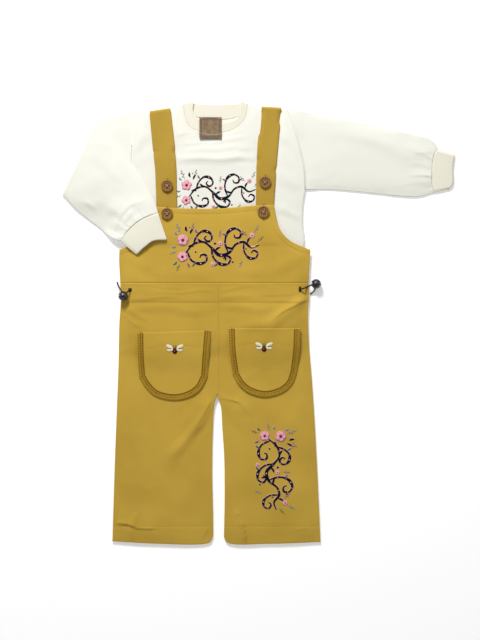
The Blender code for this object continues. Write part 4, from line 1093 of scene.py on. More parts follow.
def thread_group():
    """Fine twist of sewing thread, as colour and height."""
    inputs = {"Vector": None, "Colour": (0.5, 0.5, 0.5, 1), "Darker": (0.2, 0.2, 0.2, 1)}
    tree, start, end = new_group("thread twist", inputs, ("Colour", "Height"))
    inputs = {"Vector": start["Vector"], "Scale": 900.0, "Distortion": 2.0, "Detail": 1.0}
    strands = add(tree, "ShaderNodeTexWave", inputs, bands_direction="DIAGONAL").outputs["Fac"]
    tone = times(tree, noise(tree, start["Vector"], 260.0), 0.7)
    mixed = mix(tree, maths(tree, "MULTIPLY_ADD", strands, 0.35, tone), start["Darker"], start["Colour"])
    fill(tree, end, {"Colour": mixed, "Height": strands})
    return tree


def ink_group():
    """Ink on cloth: a little worn, with the weave showing through it."""
    inputs = {"Vector": None, "Colour": (0.5, 0.5, 0.5, 1), "Pale": (0.9, 0.9, 0.9, 1)}
    tree, start, end = new_group("printed ink", inputs, ("Colour", "Height"))
    wear = noise(tree, start["Vector"], 420.0, 3.0)
    mixed = mix(tree, ranged(tree, wear, 0.52, 0.8, 0.0, 0.5), start["Colour"], start["Pale"])
    fill(tree, end, {"Colour": mixed, "Height": wear})
    return tree


def principled(name):
    material = bpy.data.materials.new(name)
    material.use_nodes = True
    return material, material.node_tree, material.node_tree.nodes["Principled BSDF"]


def cloth_material(name, colour, darker, weave, pitches, depth, weave_depth, cloud, sheen):
    """A cloth: its weave group and its tone group, on the piece's own cloth coordinates."""
    material, tree, shader = principled(name)
    place = on_cloth(tree)
    woven = grouped(tree, weave, {"Vector": place, **pitches})
    inputs = {"Vector": place, "Weave": woven["Shade"], "Weave Depth": weave_depth, "Cloud": cloud}
    tone = grouped(tree, "tone", inputs | {"Colour": colour, "Darker": darker})
    normal = bumped(tree, plus(tree, woven["Height"], tone["Height"]), depth)
    fill(tree, shader, {"Base Color": tone["Colour"], "Roughness": tone["Roughness"], "Normal": normal})
    fill(tree, shader, {"Sheen Weight": sheen, "Sheen Roughness": 0.5, "Specular IOR Level": 0.25})
    return material


def patterned(name, group, colours, distance, roughness, sheen=0.0):
    """A finish from one group that takes two colours, on the piece's own Object coordinates."""
    material, tree, shader = principled(name)
    made = grouped(tree, group, {"Vector": in_object(tree), **colours})
    fill(tree, shader, {"Base Color": made["Colour"], "Normal": bumped(tree, made["Height"], distance)})
    fill(tree, shader, {"Roughness": roughness, "Sheen Weight": sheen, "Specular IOR Level": 0.06})
    return material


def button_material(colours):
    """Wood-look: rings of grain and fine pores under a half gloss."""
    material, tree, shader = principled("brown button")
    place = in_object(tree)
    inputs = {"Vector": place, "Scale": 110.0, "Distortion": 5.0, "Detail": 3.0, "Detail Scale": 1.4}
    grain = add(tree, "ShaderNodeTexWave", inputs).outputs["Fac"]
    pores = noise(tree, place, 1500.0)
    factor = maths(tree, "MULTIPLY_ADD", grain, 0.7, times(tree, pores, 0.4))
    rough = maths(tree, "MULTIPLY_ADD", pores, 0.25, 0.3)
    mixed = mix(tree, factor, colours.button, colours.button_grain)
    fill(tree, shader, {"Base Color": mixed, "Roughness": rough, "Normal": bumped(tree, grain, 0.00008, 0.4)})
    return material


def gunmetal_material(colours):
    """Dark plated metal with fine scratches and paler worn patches at random."""
    material, tree, shader = principled("gunmetal")
    place = in_object(tree)
    scratches, cloud = noise(tree, place, 1800.0, 3.0, 1.5), noise(tree, place, 300.0)
    mixed = mix(tree, ranged(tree, cloud, 0.4, 0.7), colours.toggle, colours.toggle_worn)
    rough, normal = maths(tree, "MULTIPLY_ADD", scratches, 0.2, 0.2), bumped(tree, scratches, 0.00003, 0.3)
    fill(tree, shader, {"Base Color": mixed, "Roughness": rough, "Metallic": 0.85, "Normal": normal})
    return material


def cord_material(colours):
    """Dark braid: threads that cross along the cord's own coordinates."""
    material, tree, shader = principled("dark cord")
    woven = grouped(tree, "twill", {"Vector": on_cloth(tree), "Pitch": 0.0007})
    mixed, normal = mix(tree, woven["Shade"], colours.cord, colours.cord_light), bumped(tree, woven["Height"], 0.00008)
    fill(tree, shader, {"Base Color": mixed, "Normal": normal, "Roughness": 0.7, "Specular IOR Level": 0.25})
    return material


def label_material(colours):
    """Woven label: a two-tone border round a plain woven field."""
    material, tree, shader = principled("tan label")
    place = on_cloth(tree)
    parts = add(tree, "ShaderNodeSeparateXYZ", {0: place}).outputs
    insets = []
    for part, size in zip(parts, (LABEL_W, LABEL_H)):
        half = size * MM / 2
        insets.append(maths(tree, "SUBTRACT", half, maths(tree, "ABSOLUTE", maths(tree, "SUBTRACT", part, half))))
    off = maths(tree, "ABSOLUTE", maths(tree, "SUBTRACT", maths(tree, "MINIMUM", *insets), 2.6 * MM))
    border = ranged(tree, off, 0.5 * MM, 1.0 * MM, 1.0, 0.0)
    woven = grouped(tree, "twill", {"Vector": place, "Pitch": 0.0008})
    inputs = {"Vector": place, "Weave": woven["Shade"], "Colour": colours.label, "Darker": colours.label_shade}
    # The label's edges darken strongly: rubbed wear and painted shade.
    inputs |= {"Weave Depth": 0.35, "Cloud": 0.6, "Cloud Size": 160.0, "Rub": 0.5}
    tone = grouped(tree, "tone", inputs)
    mixed = mix(tree, border, tone["Colour"], colours.label_shade)
    normal = bumped(tree, plus(tree, woven["Height"], border), 0.0001)
    fill(tree, shader, {"Base Color": mixed, "Roughness": tone["Roughness"], "Normal": normal})
    return material


def make_materials(colours):
    """Every finish, under the name that its pieces ask for."""
    GROUPS.update(twill=twill_group(), knit=knit_group(), tone=tone_group(), thread=thread_group(), ink=ink_group())
    for name, key, weave, pitches, *rest in (
        ("cream_jersey", "jersey", "knit", {"Column": 0.0011, "Course": 0.0009}, 0.00006, 0.05, 0.3, 0.1),
        ("cream_rib", "rib", "knit", {"Column": 0.0012, "Course": 0.001}, 0.0001, 0.2, 0.25, 0.1),
        ("mustard_twill", "twill", "twill", {"Pitch": 0.0009}, 0.00006, 0.12, 0.5, 0.05),
        # The straps are the dungarees' twill, made darker as painted shade: the strap colours stand for the shade the
        # straps lie in.
        ("strap_twill", "strap", "twill", {"Pitch": 0.0009}, 0.00006, 0.12, 0.5, 0.05),
    ):
        tones = getattr(colours, key), getattr(colours, f"{key}_shade")
        MATERIALS[name] = cloth_material(name.replace("_", " "), *tones, weave, pitches, *rest)
    MATERIALS["tan_label"] = label_material(colours)
    MATERIALS["brown_button"] = button_material(colours)
    MATERIALS["gunmetal"] = gunmetal_material(colours)
    MATERIALS["dark_cord"] = cord_material(colours)
    threads = {
        "mustard_thread": (colours.twill_thread, colours.twill_shade),
        "cream_thread": (colours.jersey, colours.rib_shade),
        # Near-black: the slots' dark thread, and also the painted shade of the buttonhole slits.
        "dark_thread": (colours.cord_light, colours.cord),
    }
    for key, share in (("trim_dark", 0.6), ("trim_light", 0.6), ("button_thread", 0.4)):
        threads[key] = getattr(colours, key), [c * share for c in getattr(colours, key)]
    for key, share in (("wing", 0.75), ("olive", 0.5), ("maroon", 0.4), ("glint", 0.7)):
        threads[f"{key}_thread"] = getattr(colours, key), [c * share for c in getattr(colours, key)]
    for name, (colour, darker) in threads.items():
        MATERIALS[name] = patterned(name, "thread", {"Colour": colour, "Darker": darker}, 0.00005, 0.6, 0.01)
    for name in ("navy", "blush", "rose", "crimson", "mauve", "slate", "green", "halo"):
        colour = getattr(colours, name)
        pale = [c * 0.85 + 0.035 for c in colour]
        MATERIALS[name] = patterned(f"{name}_ink", "ink", {"Colour": colour, "Pale": pale}, 0.00004, 0.7)


# Sizes and colours


def length_of(name, description, value):
    return FloatProperty(name=name, description=description, default=value * MM, unit="LENGTH", precision=4)


def colour_of(name, description, value):
    return FloatVectorProperty(name=name, description=description, default=value, subtype="COLOR", min=0, max=1)


class CoordSizes(bpy.types.PropertyGroup):
    """Sizes of the cloth and its folds."""

    jersey: length_of("Jersey", "Thickness of the sweatshirt's cloth", 1.2)
    twill: length_of("Twill", "Thickness of the dungarees' cloth", 1.4)
    rib: length_of("Rib", "Thickness of the rib at the cuffs and neck", 1.6)
    cell: length_of("Cell", "Size of the cloth's mesh cells", 2.0)
    rib_pitch: length_of("Rib pitch", "From one rib of the cuffs and neck to the next", 2.4)
    unevenness: length_of("Unevenness", "Height of the cloth's gentle waves", 0.35)
    thread: length_of("Thread", "Width of the sewing thread", 0.5)
    creases: FloatProperty(
        name="Creases", description="How strongly the cloth creases", default=1.15, min=0.0, max=2.0, subtype="FACTOR"
    )


class CoordColours(bpy.types.PropertyGroup):
    """Colours of the cloth, thread and trims."""

    jersey: colour_of("Jersey", "The sweatshirt", (0.848, 0.838, 0.757))
    jersey_shade: colour_of("Jersey shade", "The sweatshirt's darker tone", (0.79, 0.78, 0.675))
    rib: colour_of("Rib", "The cuffs and neck rib", (0.855, 0.825, 0.69))
    rib_shade: colour_of("Rib shade", "The rib's darker tone", (0.76, 0.715, 0.58))
    twill: colour_of("Twill", "The dungarees", (0.60, 0.39, 0.0525))
    twill_shade: colour_of("Twill shade", "The dungarees' darker tone", (0.48, 0.30, 0.034))
    # Strap and strap shade: the dungarees' twill, darkened as painted shade for the shade the straps lie in.
    strap: colour_of("Strap", "The straps' cloth", (0.49, 0.315, 0.043))
    strap_shade: colour_of("Strap shade", "The straps' darker tone", (0.385, 0.24, 0.028))
    twill_thread: colour_of("Twill thread", "Stitches of the dungarees", (0.54, 0.34, 0.046))
    label: colour_of("Label", "The neck label", (0.31, 0.22, 0.118))
    label_shade: colour_of("Label shade", "The label's darker thread", (0.15, 0.095, 0.055))
    button: colour_of("Button", "The buttons", (0.34, 0.17, 0.045))
    button_grain: colour_of("Button grain", "The buttons' grain", (0.16, 0.07, 0.012))
    button_thread: colour_of("Button thread", "The thread that holds the buttons", (0.55, 0.36, 0.20))
    toggle: colour_of("Toggle", "The cord toggles", (0.04, 0.037, 0.045))
    toggle_worn: colour_of("Toggle wear", "The toggles where they are worn", (0.15, 0.145, 0.165))
    cord: colour_of("Cord", "The drawcord", (0.008, 0.007, 0.008))
    cord_light: colour_of("Cord light", "The drawcord's lighter threads", (0.03, 0.027, 0.028))
    trim_dark: colour_of("Trim dark", "The pocket trim's dark thread", (0.30, 0.15, 0.004))
    trim_light: colour_of("Trim light", "The pocket trim's lighter thread", (0.50, 0.30, 0.02))
    wing: colour_of("Wing", "The bees' wings", (0.90, 0.84, 0.62))
    olive: colour_of("Olive", "The bees' lines", (0.07, 0.085, 0.04))
    maroon: colour_of("Maroon", "The bees' bodies", (0.12, 0.010, 0.014))
    glint: colour_of("Glint", "The light on the bees' bodies", (0.55, 0.17, 0.17))
    navy: colour_of("Navy", "The print's stems", (0.007, 0.005, 0.015))
    blush: colour_of("Blush", "The print's flowers", (0.80, 0.40, 0.46))
    rose: colour_of("Rose", "The rims of the print's flowers", (0.62, 0.20, 0.28))
    crimson: colour_of("Crimson", "The middles of the print's flowers", (0.36, 0.02, 0.06))
    mauve: colour_of("Mauve", "The print's mauve leaves", (0.20, 0.11, 0.22))
    slate: colour_of("Slate", "The print's grey-blue leaves", (0.17, 0.22, 0.28))
    green: colour_of("Green", "The print's green leaves", (0.08, 0.15, 0.08))
    halo: colour_of("Halo", "The pale rim of the prints on twill", (0.66, 0.40, 0.24))
    floor: colour_of("Floor", "The floor", (0.97, 0.97, 0.97))


def size_of(name):
    """One of the sizes, in millimetres."""
    return getattr(bpy.context.scene.coord_sizes, name) / MM


# The pieces


def cover_mask(grid, covers, margin=4.0):
    """1 where the grid is in the open, and 0 under the loops that cover it."""
    mask = np.ones(grid.shape[:2])
    for loop in covers:
        mask *= 1 - ease(depth_in(grid, loop), -margin, 0)
    return mask


def folds(grid, table, covers=(), seed=1, border=None):
    """The folds that the cloth takes over its laid height, none of them at its border."""
    border = outline(grid) if border is None else border
    open_cloth = cover_mask(grid, covers) * ease(away(grid, np.vstack([border, border[:1]])), 0.0, FOLD_RIM)
    waves = size_of("unevenness") * (wander(grid, 78, seed) + 0.35 * wander(grid, 30, seed + 40))
    return bpy.context.scene.coord_sizes.creases * creased(grid, table) * np.sqrt(open_cloth) + waves * open_cloth


def hem(grid, path, reach):
    """A turned hem along a path: a little higher out to its line of stitches, and pressed in there."""
    far = away(grid, path)
    return 0.28 * (1 - ease(far, reach - 0.8, reach + 1.2)) - 0.4 * np.exp(-(((far - reach) / 1.3) ** 2))


def pressed(grid, path, deep, wide):
    """The groove that a line of stitches presses in along a path."""
    return deep * np.exp(-((away(grid, path) / wide) ** 2))


def ring_round(x, y, radius, count=24):
    angle = np.linspace(0, math.tau, count, endpoint=False)
    return np.column_stack([x + radius * np.cos(angle), y + radius * np.sin(angle)])


def folded_loops():
    edges = [FOLDED_CUFF_UPPER, FOLDED_CUFF_END, FOLDED_CUFF_LOWER[::-1], FOLDED_SEAM[::-1]]
    return [outline(sleeve_over_grid(12.0)), np.vstack([curve(edge, 12)[:-1] for edge in edges])]


def strap_loops():
    return [outline(strap_grid(side, STRAP_END_Y, 10.0)) for side in SIDES]


def button_loops():
    return [ring_round(x, y, BUTTON_D / 2 + 1) for x, y, _ in BUTTONS.values()]


def sleeve_over_grid(cell):
    fold = curve([OVER_LOWER[0], OVER_UPPER[0]], steps(110, cell))
    seam = curve(FOLDED_SEAM[::-1], steps(110, cell))
    return sleeve_grid(fold, seam, OVER_LOWER, OVER_UPPER, cell)


class CoordStage(bpy.types.Operator):
    """Set the camera straight over the set, with a pale floor and soft light."""

    bl_idname = "coord.stage"
    bl_label = "Camera, floor and light"

    def execute(self, context):
        camera = bpy.data.cameras.new("overhead")
        camera.sensor_fit = "VERTICAL"
        camera.sensor_height = SENSOR_TALL
        camera.lens = SENSOR_TALL * CAMERA_HEIGHT / VIEW_TALL
        camera.clip_end = 20.0
        context.scene.camera = put("overhead", camera, (VIEW_MIDDLE[0] * MM, VIEW_MIDDLE[1] * MM, CAMERA_HEIGHT))
        context.scene.view_settings.view_transform = "Standard"
        mesh = bpy.data.meshes.new("floor")
        corners = [(x * FLOOR_HALF, y * FLOOR_HALF, FLOOR_Z) for x, y in ((-1, -1), (1, -1), (1, 1), (-1, 1))]
        mesh.from_pydata(corners, [], [(0, 1, 2, 3)])
        material, tree, shader = principled("pale floor")
        fill(tree, shader, {"Base Color": context.scene.coord_colours.floor, "Roughness": 0.9})
        fill(tree, shader, {"Specular IOR Level": 0.1, "Emission Color": (1, 1, 1), "Emission Strength": FLOOR_GLOW})
        mesh.materials.append(material)
        put("floor", mesh)
        light = bpy.data.lights.new("key", "AREA")
        light.shape = "DISK"
        light.size = LAMP_WIDE
        light.energy = LAMP_POWER
        lamp = put("key", light, LAMP_PLACE)
        lamp.rotation_euler = (-Vector(LAMP_PLACE)).to_track_quat("-Z", "Y").to_euler()
        world = bpy.data.worlds.new("room")
        world.use_nodes = True
        fill(world.node_tree, world.node_tree.nodes["Background"], {0: (1, 1, 1), 1: ROOM_LIGHT})
        context.scene.world = world
        return {"FINISHED"}


class CoordDrawcord(bpy.types.Operator):
    """Lay the two free ends of the waist cord, each through its ball toggle."""

    bl_idname = "coord.drawcord"
    bl_label = "Drawcord and toggles"

    def execute(self, context):
        for side in SIDES:
            points = cord_line(side, 0.3)
            cord = rope(f"cord_{side}_braid", points, CORD_D / 2)
            dress(cord, "dark_cord", f"cord_{side}", slot="dark_cord")
            toggle = self.toggle(side)
            way = [tuple(float(c) * MM for c in point) for point in cord_line(side, 1.3)]
        return {"FINISHED"}

    def toggle(self, side):
        """A ball with a proud band and a groove, and a bent bore for the cord."""
        radius = TOGGLE_D / 2 * MM
        high, low = (z * MM for z in TOGGLE_BAND)
        end = TOGGLE_GROOVE_END * MM
        bpy.ops.mesh.primitive_uv_sphere_add(segments=56, ring_count=36, radius=radius)
        ball = bpy.context.object
        ball.name = f"toggle_{side}_ball"
        bpy.ops.object.mode_set(mode="EDIT")
        for z in (high, low, end):
            bpy.ops.mesh.select_all(action="SELECT")
            bpy.ops.mesh.bisect(plane_co=(0, 0, z), plane_no=(0, 0, 1))
        for bottom, top, out in ((low, high, TOGGLE_BAND_PROUD), (end, low, -TOGGLE_GROOVE_DEEP)):
            select_faces(ball, lambda face: bottom < face.calc_center_median().z < top)
            bpy.ops.mesh.extrude_region()
            bpy.ops.transform.shrink_fatten(value=out * MM)
        bpy.ops.object.mode_set(mode="OBJECT")
        bevel(ball, 0.22, 2, 40)
        ball.rotation_euler = (math.radians(-90), 0, math.radians(TOGGLE_TILT))
        ball.location = [value * MM for value in TOGGLES[side]]
        bpy.ops.object.transform_apply(location=True, rotation=True, scale=True)
        way = cord_line(side, 1.0)[4:-4]
        bore(ball, rope("bore", way, BORE_D / 2, braid=0.0, sides=20, ends=0.01), TOGGLE_D)
        choose(ball)
        bpy.ops.object.shade_smooth_by_angle(angle=math.radians(35))
        return dress(ball, "gunmetal", f"toggle_{side}", slot="gunmetal")


def select_faces(obj, wanted):
    """Selects, in edit mode, only the faces that are wanted."""
    bpy.ops.mesh.select_all(action="DESELECT")
    shape = bmesh.from_edit_mesh(obj.data)
    for face in shape.faces:
        if wanted(face):
            face.select_set(True)
    shape.select_flush(True)
    bmesh.update_edit_mesh(obj.data)


def choose(obj):
    """Makes an object the only one selected, and the active one."""
    bpy.ops.object.select_all(action="DESELECT")
    obj.select_set(True)
    bpy.context.view_layer.objects.active = obj


def apply_modifier(obj, kind, **settings):
    choose(obj)
    modifier = obj.modifiers.new(kind.lower(), kind)
    for key, value in settings.items():
        setattr(modifier, key, value)
    bpy.ops.object.modifier_apply(modifier=modifier.name)


def bevel(obj, width, segments, angle):
    """Rounds the edges that are sharper than an angle in degrees."""
    limit = math.radians(angle)
    apply_modifier(obj, "BEVEL", width=width * MM, segments=segments, limit_method="ANGLE", angle_limit=limit)


def bore(obj, drill, wide):
    """Cuts a drill's shape out of a piece that is so wide, and removes the drill."""
    apply_modifier(obj, "BOOLEAN", object=drill, operation="DIFFERENCE")
    bpy.data.objects.remove(drill, do_unlink=True)
    keep_size(obj, wide)


def keep_size(obj, wide):
    """Stops the script where a hole has taken more than itself out of a piece."""
    bpy.context.view_layer.update()
    if max(obj.dimensions) < 0.95 * wide * MM:
        raise RuntimeError(f"the holes in {obj.name} have spoilt it")


class CoordBacks(bpy.types.Operator):
    """Lay the plain backs: the trousers' back, the back bib and the sweatshirt's back."""

    bl_idname = "coord.backs"
    bl_label = "Backs"

    def execute(self, context):
        twill = size_of("twill")
        for node, grid, flat, area in (
            ("trouser_back_left", leg_grid("left", 5.0), (0.155, 0.37), 0.0505),
            ("trouser_back_right", leg_grid("right", 5.0), (0.155, 0.37), 0.0480),
            ("bib_back", bib_back_grid(5.0), (0.264, 0.155), 0.0336),
        ):
            obj = wall_of_cloth(f"{node}_cloth", grid, np.full(grid.shape[:2], twill), twill)
            lay(obj, "mustard_twill", node, flat, area)
        grid = body_grid(NECK_BACK, 3.0)
        obj = wall_of_cloth("top_back_cloth", grid, heights("top_back", grid), size_of("jersey"), rounding=0.3)
        lay(obj, "cream_jersey", "top_back", (0.245, 0.318), 0.0703)
        return {"FINISHED"}


class CoordSweatshirt(bpy.types.Operator):
    """Lay the sweatshirt's front and its neck rib."""

    bl_idname = "coord.sweatshirt"
    bl_label = "Sweatshirt front and neck"

    def execute(self, context):
        covers = strap_loops() + [outline(bib_grid(8.0)), folded_loops()[0]]
        grid = body_grid(NECK_FRONT, size_of("cell"))
        top = heights("top_front", grid) + folds(grid, TOP_CREASES, covers, seed=3)
        top = top - 0.5 * (1 - cover_mask(grid, covers, margin=6.0))
        obj = wall_of_cloth("top_front_cloth", grid, top, size_of("jersey"), rounding=0.12)
        lay(obj, "cream_jersey", "top_front", (0.245, 0.318), 0.0689)
        self.rib("neck_rib_back", neck_rib_grid(NECK_BACK, NECK_BACK_OPENING, 0.7))
        self.rib("neck_rib_front", neck_rib_grid(NECK_FRONT, NECK_FRONT_OPENING, 0.7))
        return {"FINISHED"}

    def rib(self, name, grid):
        """Half of the neck's band, with ribs across it that fade out at its two edges."""
        rows, columns = grid.shape[:2]
        along = np.repeat(lengths(grid[0])[None, :], rows, 0)
        up = np.repeat(np.linspace(0, BAND_TALL, rows)[:, None], columns, 1)
        fade = ease(np.minimum(up, BAND_TALL - up), 0.0, 2.5)
        top = heights(name, grid) + 0.07 * np.cos(along * math.tau / size_of("rib_pitch")) * fade
        obj = wall_of_cloth(f"{name}_cloth", grid, top, size_of("rib"), uv=np.dstack([along, up]), rounding=0.35)
        lay(obj, "cream_rib", name, (0.145, 0.024), 0.0018)


class CoordSleeves(bpy.types.Operator):
    """Lay the stretched sleeve and the folded one, each with its cuff."""

    bl_idname = "coord.sleeves"
    bl_label = "Sleeves and cuffs"

    def execute(self, context):
        cell = size_of("cell")
        across = steps(114, cell)
        self.out(cell, across)
        self.folded(cell, across)
        over = ("top_front", "sleeve_out", "sleeve_folded")
        for side, arm, start in (("left", ARM_LEFT, ARM_FELL_START), ("right", ARM_RIGHT, 3)):
            grid = curve(arm, 110)[start:-2][:, None, :] + np.array([(d, 0.0) for d in (-1.9, -1.0, 0.0, 1.0, 1.9)])
            felled(f"armhole_fell_{side}", over, grid, 0.12, "cream_jersey")
        return {"FINISHED"}

    def out(self, cell, across):
        seam = curve(OUT_SEAM[::-1], across)
        grid = sleeve_grid(curve(ARM_RIGHT, across) + (SEAM_GAP, 0), seam, OUT_LOWER, OUT_UPPER, cell)
        extra = 0.6 * folds(grid, SLEEVE_CREASES, seed=11) + 0.8 * self.gathers(grid, seam)
        self.flat("sleeve_out", grid, "cream_jersey", size_of("jersey"), (0.23, 0.21), 0.0361, extra)
        self.cuff("cuff_out", OUT_SEAM, OUT_CUFF_END, 60, None, (0.115, 0.031), 0.00325)

    def folded(self, cell, across):
        """The sleeve as one tube: its under part, the turn of its fold, and its upper part upside down."""
        jersey = size_of("jersey")
        fold = curve([UNDER_LOWER[-1], UNDER_UPPER[-1]], across)
        under = sleeve_grid(curve(ARM_LEFT, across) - (SEAM_GAP, 0), fold, UNDER_LOWER, UNDER_UPPER, cell)
        seam = curve(FOLDED_SEAM[::-1], across)
        over = sleeve_grid(fold, seam, OVER_LOWER, OVER_UPPER, cell)
        half_under = heights("sleeve_folded", under, pick=-4, least=4, passes=14) / 2
        half_over = np.full(over.shape[:2], jersey + 0.3)
        over_top = heights("sleeve_folded", over, passes=14) + self.gathers(over, seam)
        over_top = over_top + folds(over, SLEEVE_CREASES, folded_loops()[1:], seed=8)
        low, high = np.dstack([under, half_under]), np.dstack([over, over_top - half_over])
        line = under[-1]
        along = line[-1] - line[0]
        outward = np.array([-along[1], along[0]]) / np.linalg.norm(along)
        radius = (high[0, :, 2] - low[-1, :, 2]) / 2
        centre = (high[0, :, 2] + low[-1, :, 2]) / 2
        parts = [(low, np.zeros_like(low) + (0, 0, 1), half_under)]
        for k in range(1, FOLD_STEPS):
            turn = math.pi * k / FOLD_STEPS
            out = line + outward * (radius * math.sin(turn))[:, None]
            row = np.dstack([out[None], (centre - radius * math.cos(turn))[None]])
            up = np.zeros_like(row) + (*(-outward * math.sin(turn)), math.cos(turn))
            parts.append((row, up, half_under[-1:] + (half_over[:1] - half_under[-1:]) * k / FOLD_STEPS))
        parts.append((high, np.zeros_like(high) - (0, 0, 1), half_over))
        obj = tube_of_cloth("sleeve_folded_cloth", *(np.concatenate(part) for part in zip(*parts)), jersey)
        lay(obj, "cream_jersey", "sleeve_folded", (0.25, 0.21), 0.0397, held="folded")
        sides = FOLDED_CUFF_LOWER, FOLDED_CUFF_UPPER
        self.cuff("cuff_folded", FOLDED_SEAM, FOLDED_CUFF_END, 66, sides, (0.115, 0.041), 0.00397)

    def gathers(self, grid, seam):
        """Small pleats that run up the sleeve from its cuff seam."""
        far = away(grid, seam)
        across = np.repeat(np.linspace(0, 1, grid.shape[1])[None], len(grid), 0)
        pleats = np.sin(across * 38 + 1.1 * np.sin(across * 17)) + 0.5 * np.sin(across * 71 + 2)
        edge = ease(np.minimum(across, 1 - across), 0.0, 0.1)
        return 0.32 * pleats * np.exp(-((far / 12) ** 1.4)) * ease(far, 0, 4) * edge

    def cuff(self, node, seam, end, wide, sides, cut, area):
        """A ribbed cuff from its seam to its end, with the sides given or straight ones."""
        fine = steps(wide, 0.6)
        start, end = sideways(curve(seam[::-1], fine), -SEAM_GAP), curve(end[::-1], fine)
        lower, upper = sides or ((start[0], end[0]), (start[-1], end[-1]))
        grid = sleeve_grid(start, end, lower, upper, 1.5)
        self.flat(node, grid, "cream_rib", size_of("rib"), cut, area, ribbed=True)

    def flat(self, node, grid, material, thick, cut, area, extra=0.0, ribbed=False):
        """A flattened tube that follows its node, creased on its upper side."""
        top = heights(node, grid, passes=12) + extra
        low = heights(node, grid, pick=-1, passes=12)
        half = (top - low) / 2
        middle = np.dstack([grid, low + half])
        if ribbed:
            across = np.repeat(lengths(grid[0])[None], len(grid), 0)
            swell = np.sin(np.linspace(0, math.pi, len(grid)))[:, None] ** 0.5
            half = half + 0.045 * np.cos(across * math.tau / size_of("rib_pitch")) + 0.25 * swell
            middle[..., 2] += np.maximum(0, half - (top - low) / 2 - low)
        obj = tube_of_cloth(f"{node}_cloth", middle, np.zeros_like(middle) + (0, 0, 1), half, thick)
        lay(obj, material, node, cut, area)


class CoordDungarees(bpy.types.Operator):
    """Lay the dungarees' front: the trousers, the bib and the pockets."""

    bl_idname = "coord.dungarees"
    bl_label = "Dungarees front"

    def execute(self, context):
        cell = 0.8 * size_of("cell")
        covers = folded_loops() + button_loops()
        foot, casing = ([(-210, y), (95, y)] for y in (HEM_LINE_Y, CASING_Y))
        for side, area in zip(SIDES, (0.0508, 0.0482)):
            grid = leg_grid(side, cell)
            top = heights(f"trouser_front_{side}", grid) + folds(grid, DUNGAREE_CREASES, covers, seed=21)
            top = top - pressed(grid, foot, 0.35, 1.4) + 0.2 * ease(HEM_LINE_Y - grid[..., 1], -1, 1)
            top = top - pressed(grid, casing, 0.45, 1.5) + 0.3 * ease(grid[..., 1] - CASING_Y, -1, 2)
            self.front(f"trouser_front_{side}", grid, top, (0.155, 0.37), area)
        grid = bib_grid(cell)
        top = heights("bib_front", grid) + folds(grid, DUNGAREE_CREASES, covers, seed=21)
        for path in (BIB_TOP, BIB_LEFT_ARM, BIB_RIGHT_ARM):
            top = top + hem(grid, curve(path, 60), 7.0)
        self.front("bib_front", grid, top, (0.268, 0.11), 0.0241)
        for side, edges, area in zip(SIDES, (POCKET_LEFT, POCKET_RIGHT), (0.00895, 0.00866)):
            grid = pocket_grid(edges, cell)
            border = outline(leg_grid(side, 8.0))
            top = heights(f"pocket_{side}", grid, passes=16) + folds(grid, DUNGAREE_CREASES, seed=21, border=border)
            top = top - pressed(grid, curve(POCKET_HEMS[side], 40), 0.3, 1.3)
            v, u = np.linspace(0, 1, len(grid))[:, None], np.linspace(0, 1, grid.shape[1])[None]
            self.front(f"pocket_{side}", grid, top + 0.5 * v**4 * np.sin(math.pi * u), (0.104, 0.1), area)
        x = np.linspace(CENTRE_SEAM_X - 2.2, CENTRE_SEAM_X + 2.2, 5)
        grid = np.dstack(np.meshgrid(x, np.linspace(CROTCH_Y + 2, WAIST_Y - 0.6, 120)))
        over = ("trouser_front_left", "trouser_front_right")
        felled("centre_seam_fell", over, grid, 0.16, "mustard_twill", level=True)
        return {"FINISHED"}

    def front(self, name, grid, top, cut, area):
        obj = wall_of_cloth(f"{name}_cloth", grid, top, size_of("twill"), rounding=0.4)
        lay(obj, "mustard_twill", name, cut, area)


class CoordStraps(bpy.types.Operator):
    """Lay the two straps over the shoulders."""

    bl_idname = "coord.straps"
    bl_label = "Straps"

    def execute(self, context):
        cell, twill = size_of("cell"), size_of("twill")
        for side in SIDES:
            under = strap_grid(side, BACK_BIB_TOP_Y + SEAM_GAP, cell)
            over = strap_grid(side, STRAP_END_Y, cell)
            top = heights(f"strap_{side}", over, passes=8)
            radius = float(top[-1].max()) / 2
            top[-1] = 2 * radius
            walls = []
            for deep in (0.0, twill):
                rows = [np.dstack([under, np.full(under.shape[:2], deep)])]
                for k in range(1, FOLD_STEPS):
                    turn, reach = math.pi * k / FOLD_STEPS, radius - deep
                    rise = np.full((1, under.shape[1]), radius - reach * math.cos(turn))
                    rows.append(np.dstack([under[-1:] + (0, reach * math.sin(turn)), rise]))
                walls.append(np.concatenate([*rows, np.dstack([over, top - deep])[::-1]]))
            obj = strip_of_cloth(f"strap_{side}_cloth", *walls)
            # The straps get the twill darkened as painted shade; their real cloth is the dungarees' twill.
            lay(obj, "strap_twill", f"strap_{side}", (0.03, 0.27), 0.00785, held="folded", slot="mustard_twill")
        return {"FINISHED"}


class CoordLabel(bpy.types.Operator):
    """Lay the plain woven neck label."""

    bl_idname = "coord.label"
    bl_label = "Neck label"

    def execute(self, context):
        x, y = LABEL_MIDDLE
        across = np.linspace(x - LABEL_W / 2, x + LABEL_W / 2, 32)
        grid = np.dstack(np.meshgrid(across, np.linspace(y - LABEL_H / 2, y + LABEL_H / 2, 32)))
        top = heights("neck_label", grid)
        share = (y + LABEL_H / 2 - grid[..., 1]) / LABEL_H
        side = (grid[..., 0] - x) / (LABEL_W / 2)
        top = top + 1.6 * ease(share, 0.35, 1.0) + 0.5 * side**2 * share
        obj = wall_of_cloth("neck_label_cloth", grid, top, LABEL_THICK, uv=grid - grid[0, 0])
        lay(obj, "tan_label", "neck_label", (LABEL_W * MM, LABEL_H * MM), LABEL_W * LABEL_H * MM * MM)
        return {"FINISHED"}


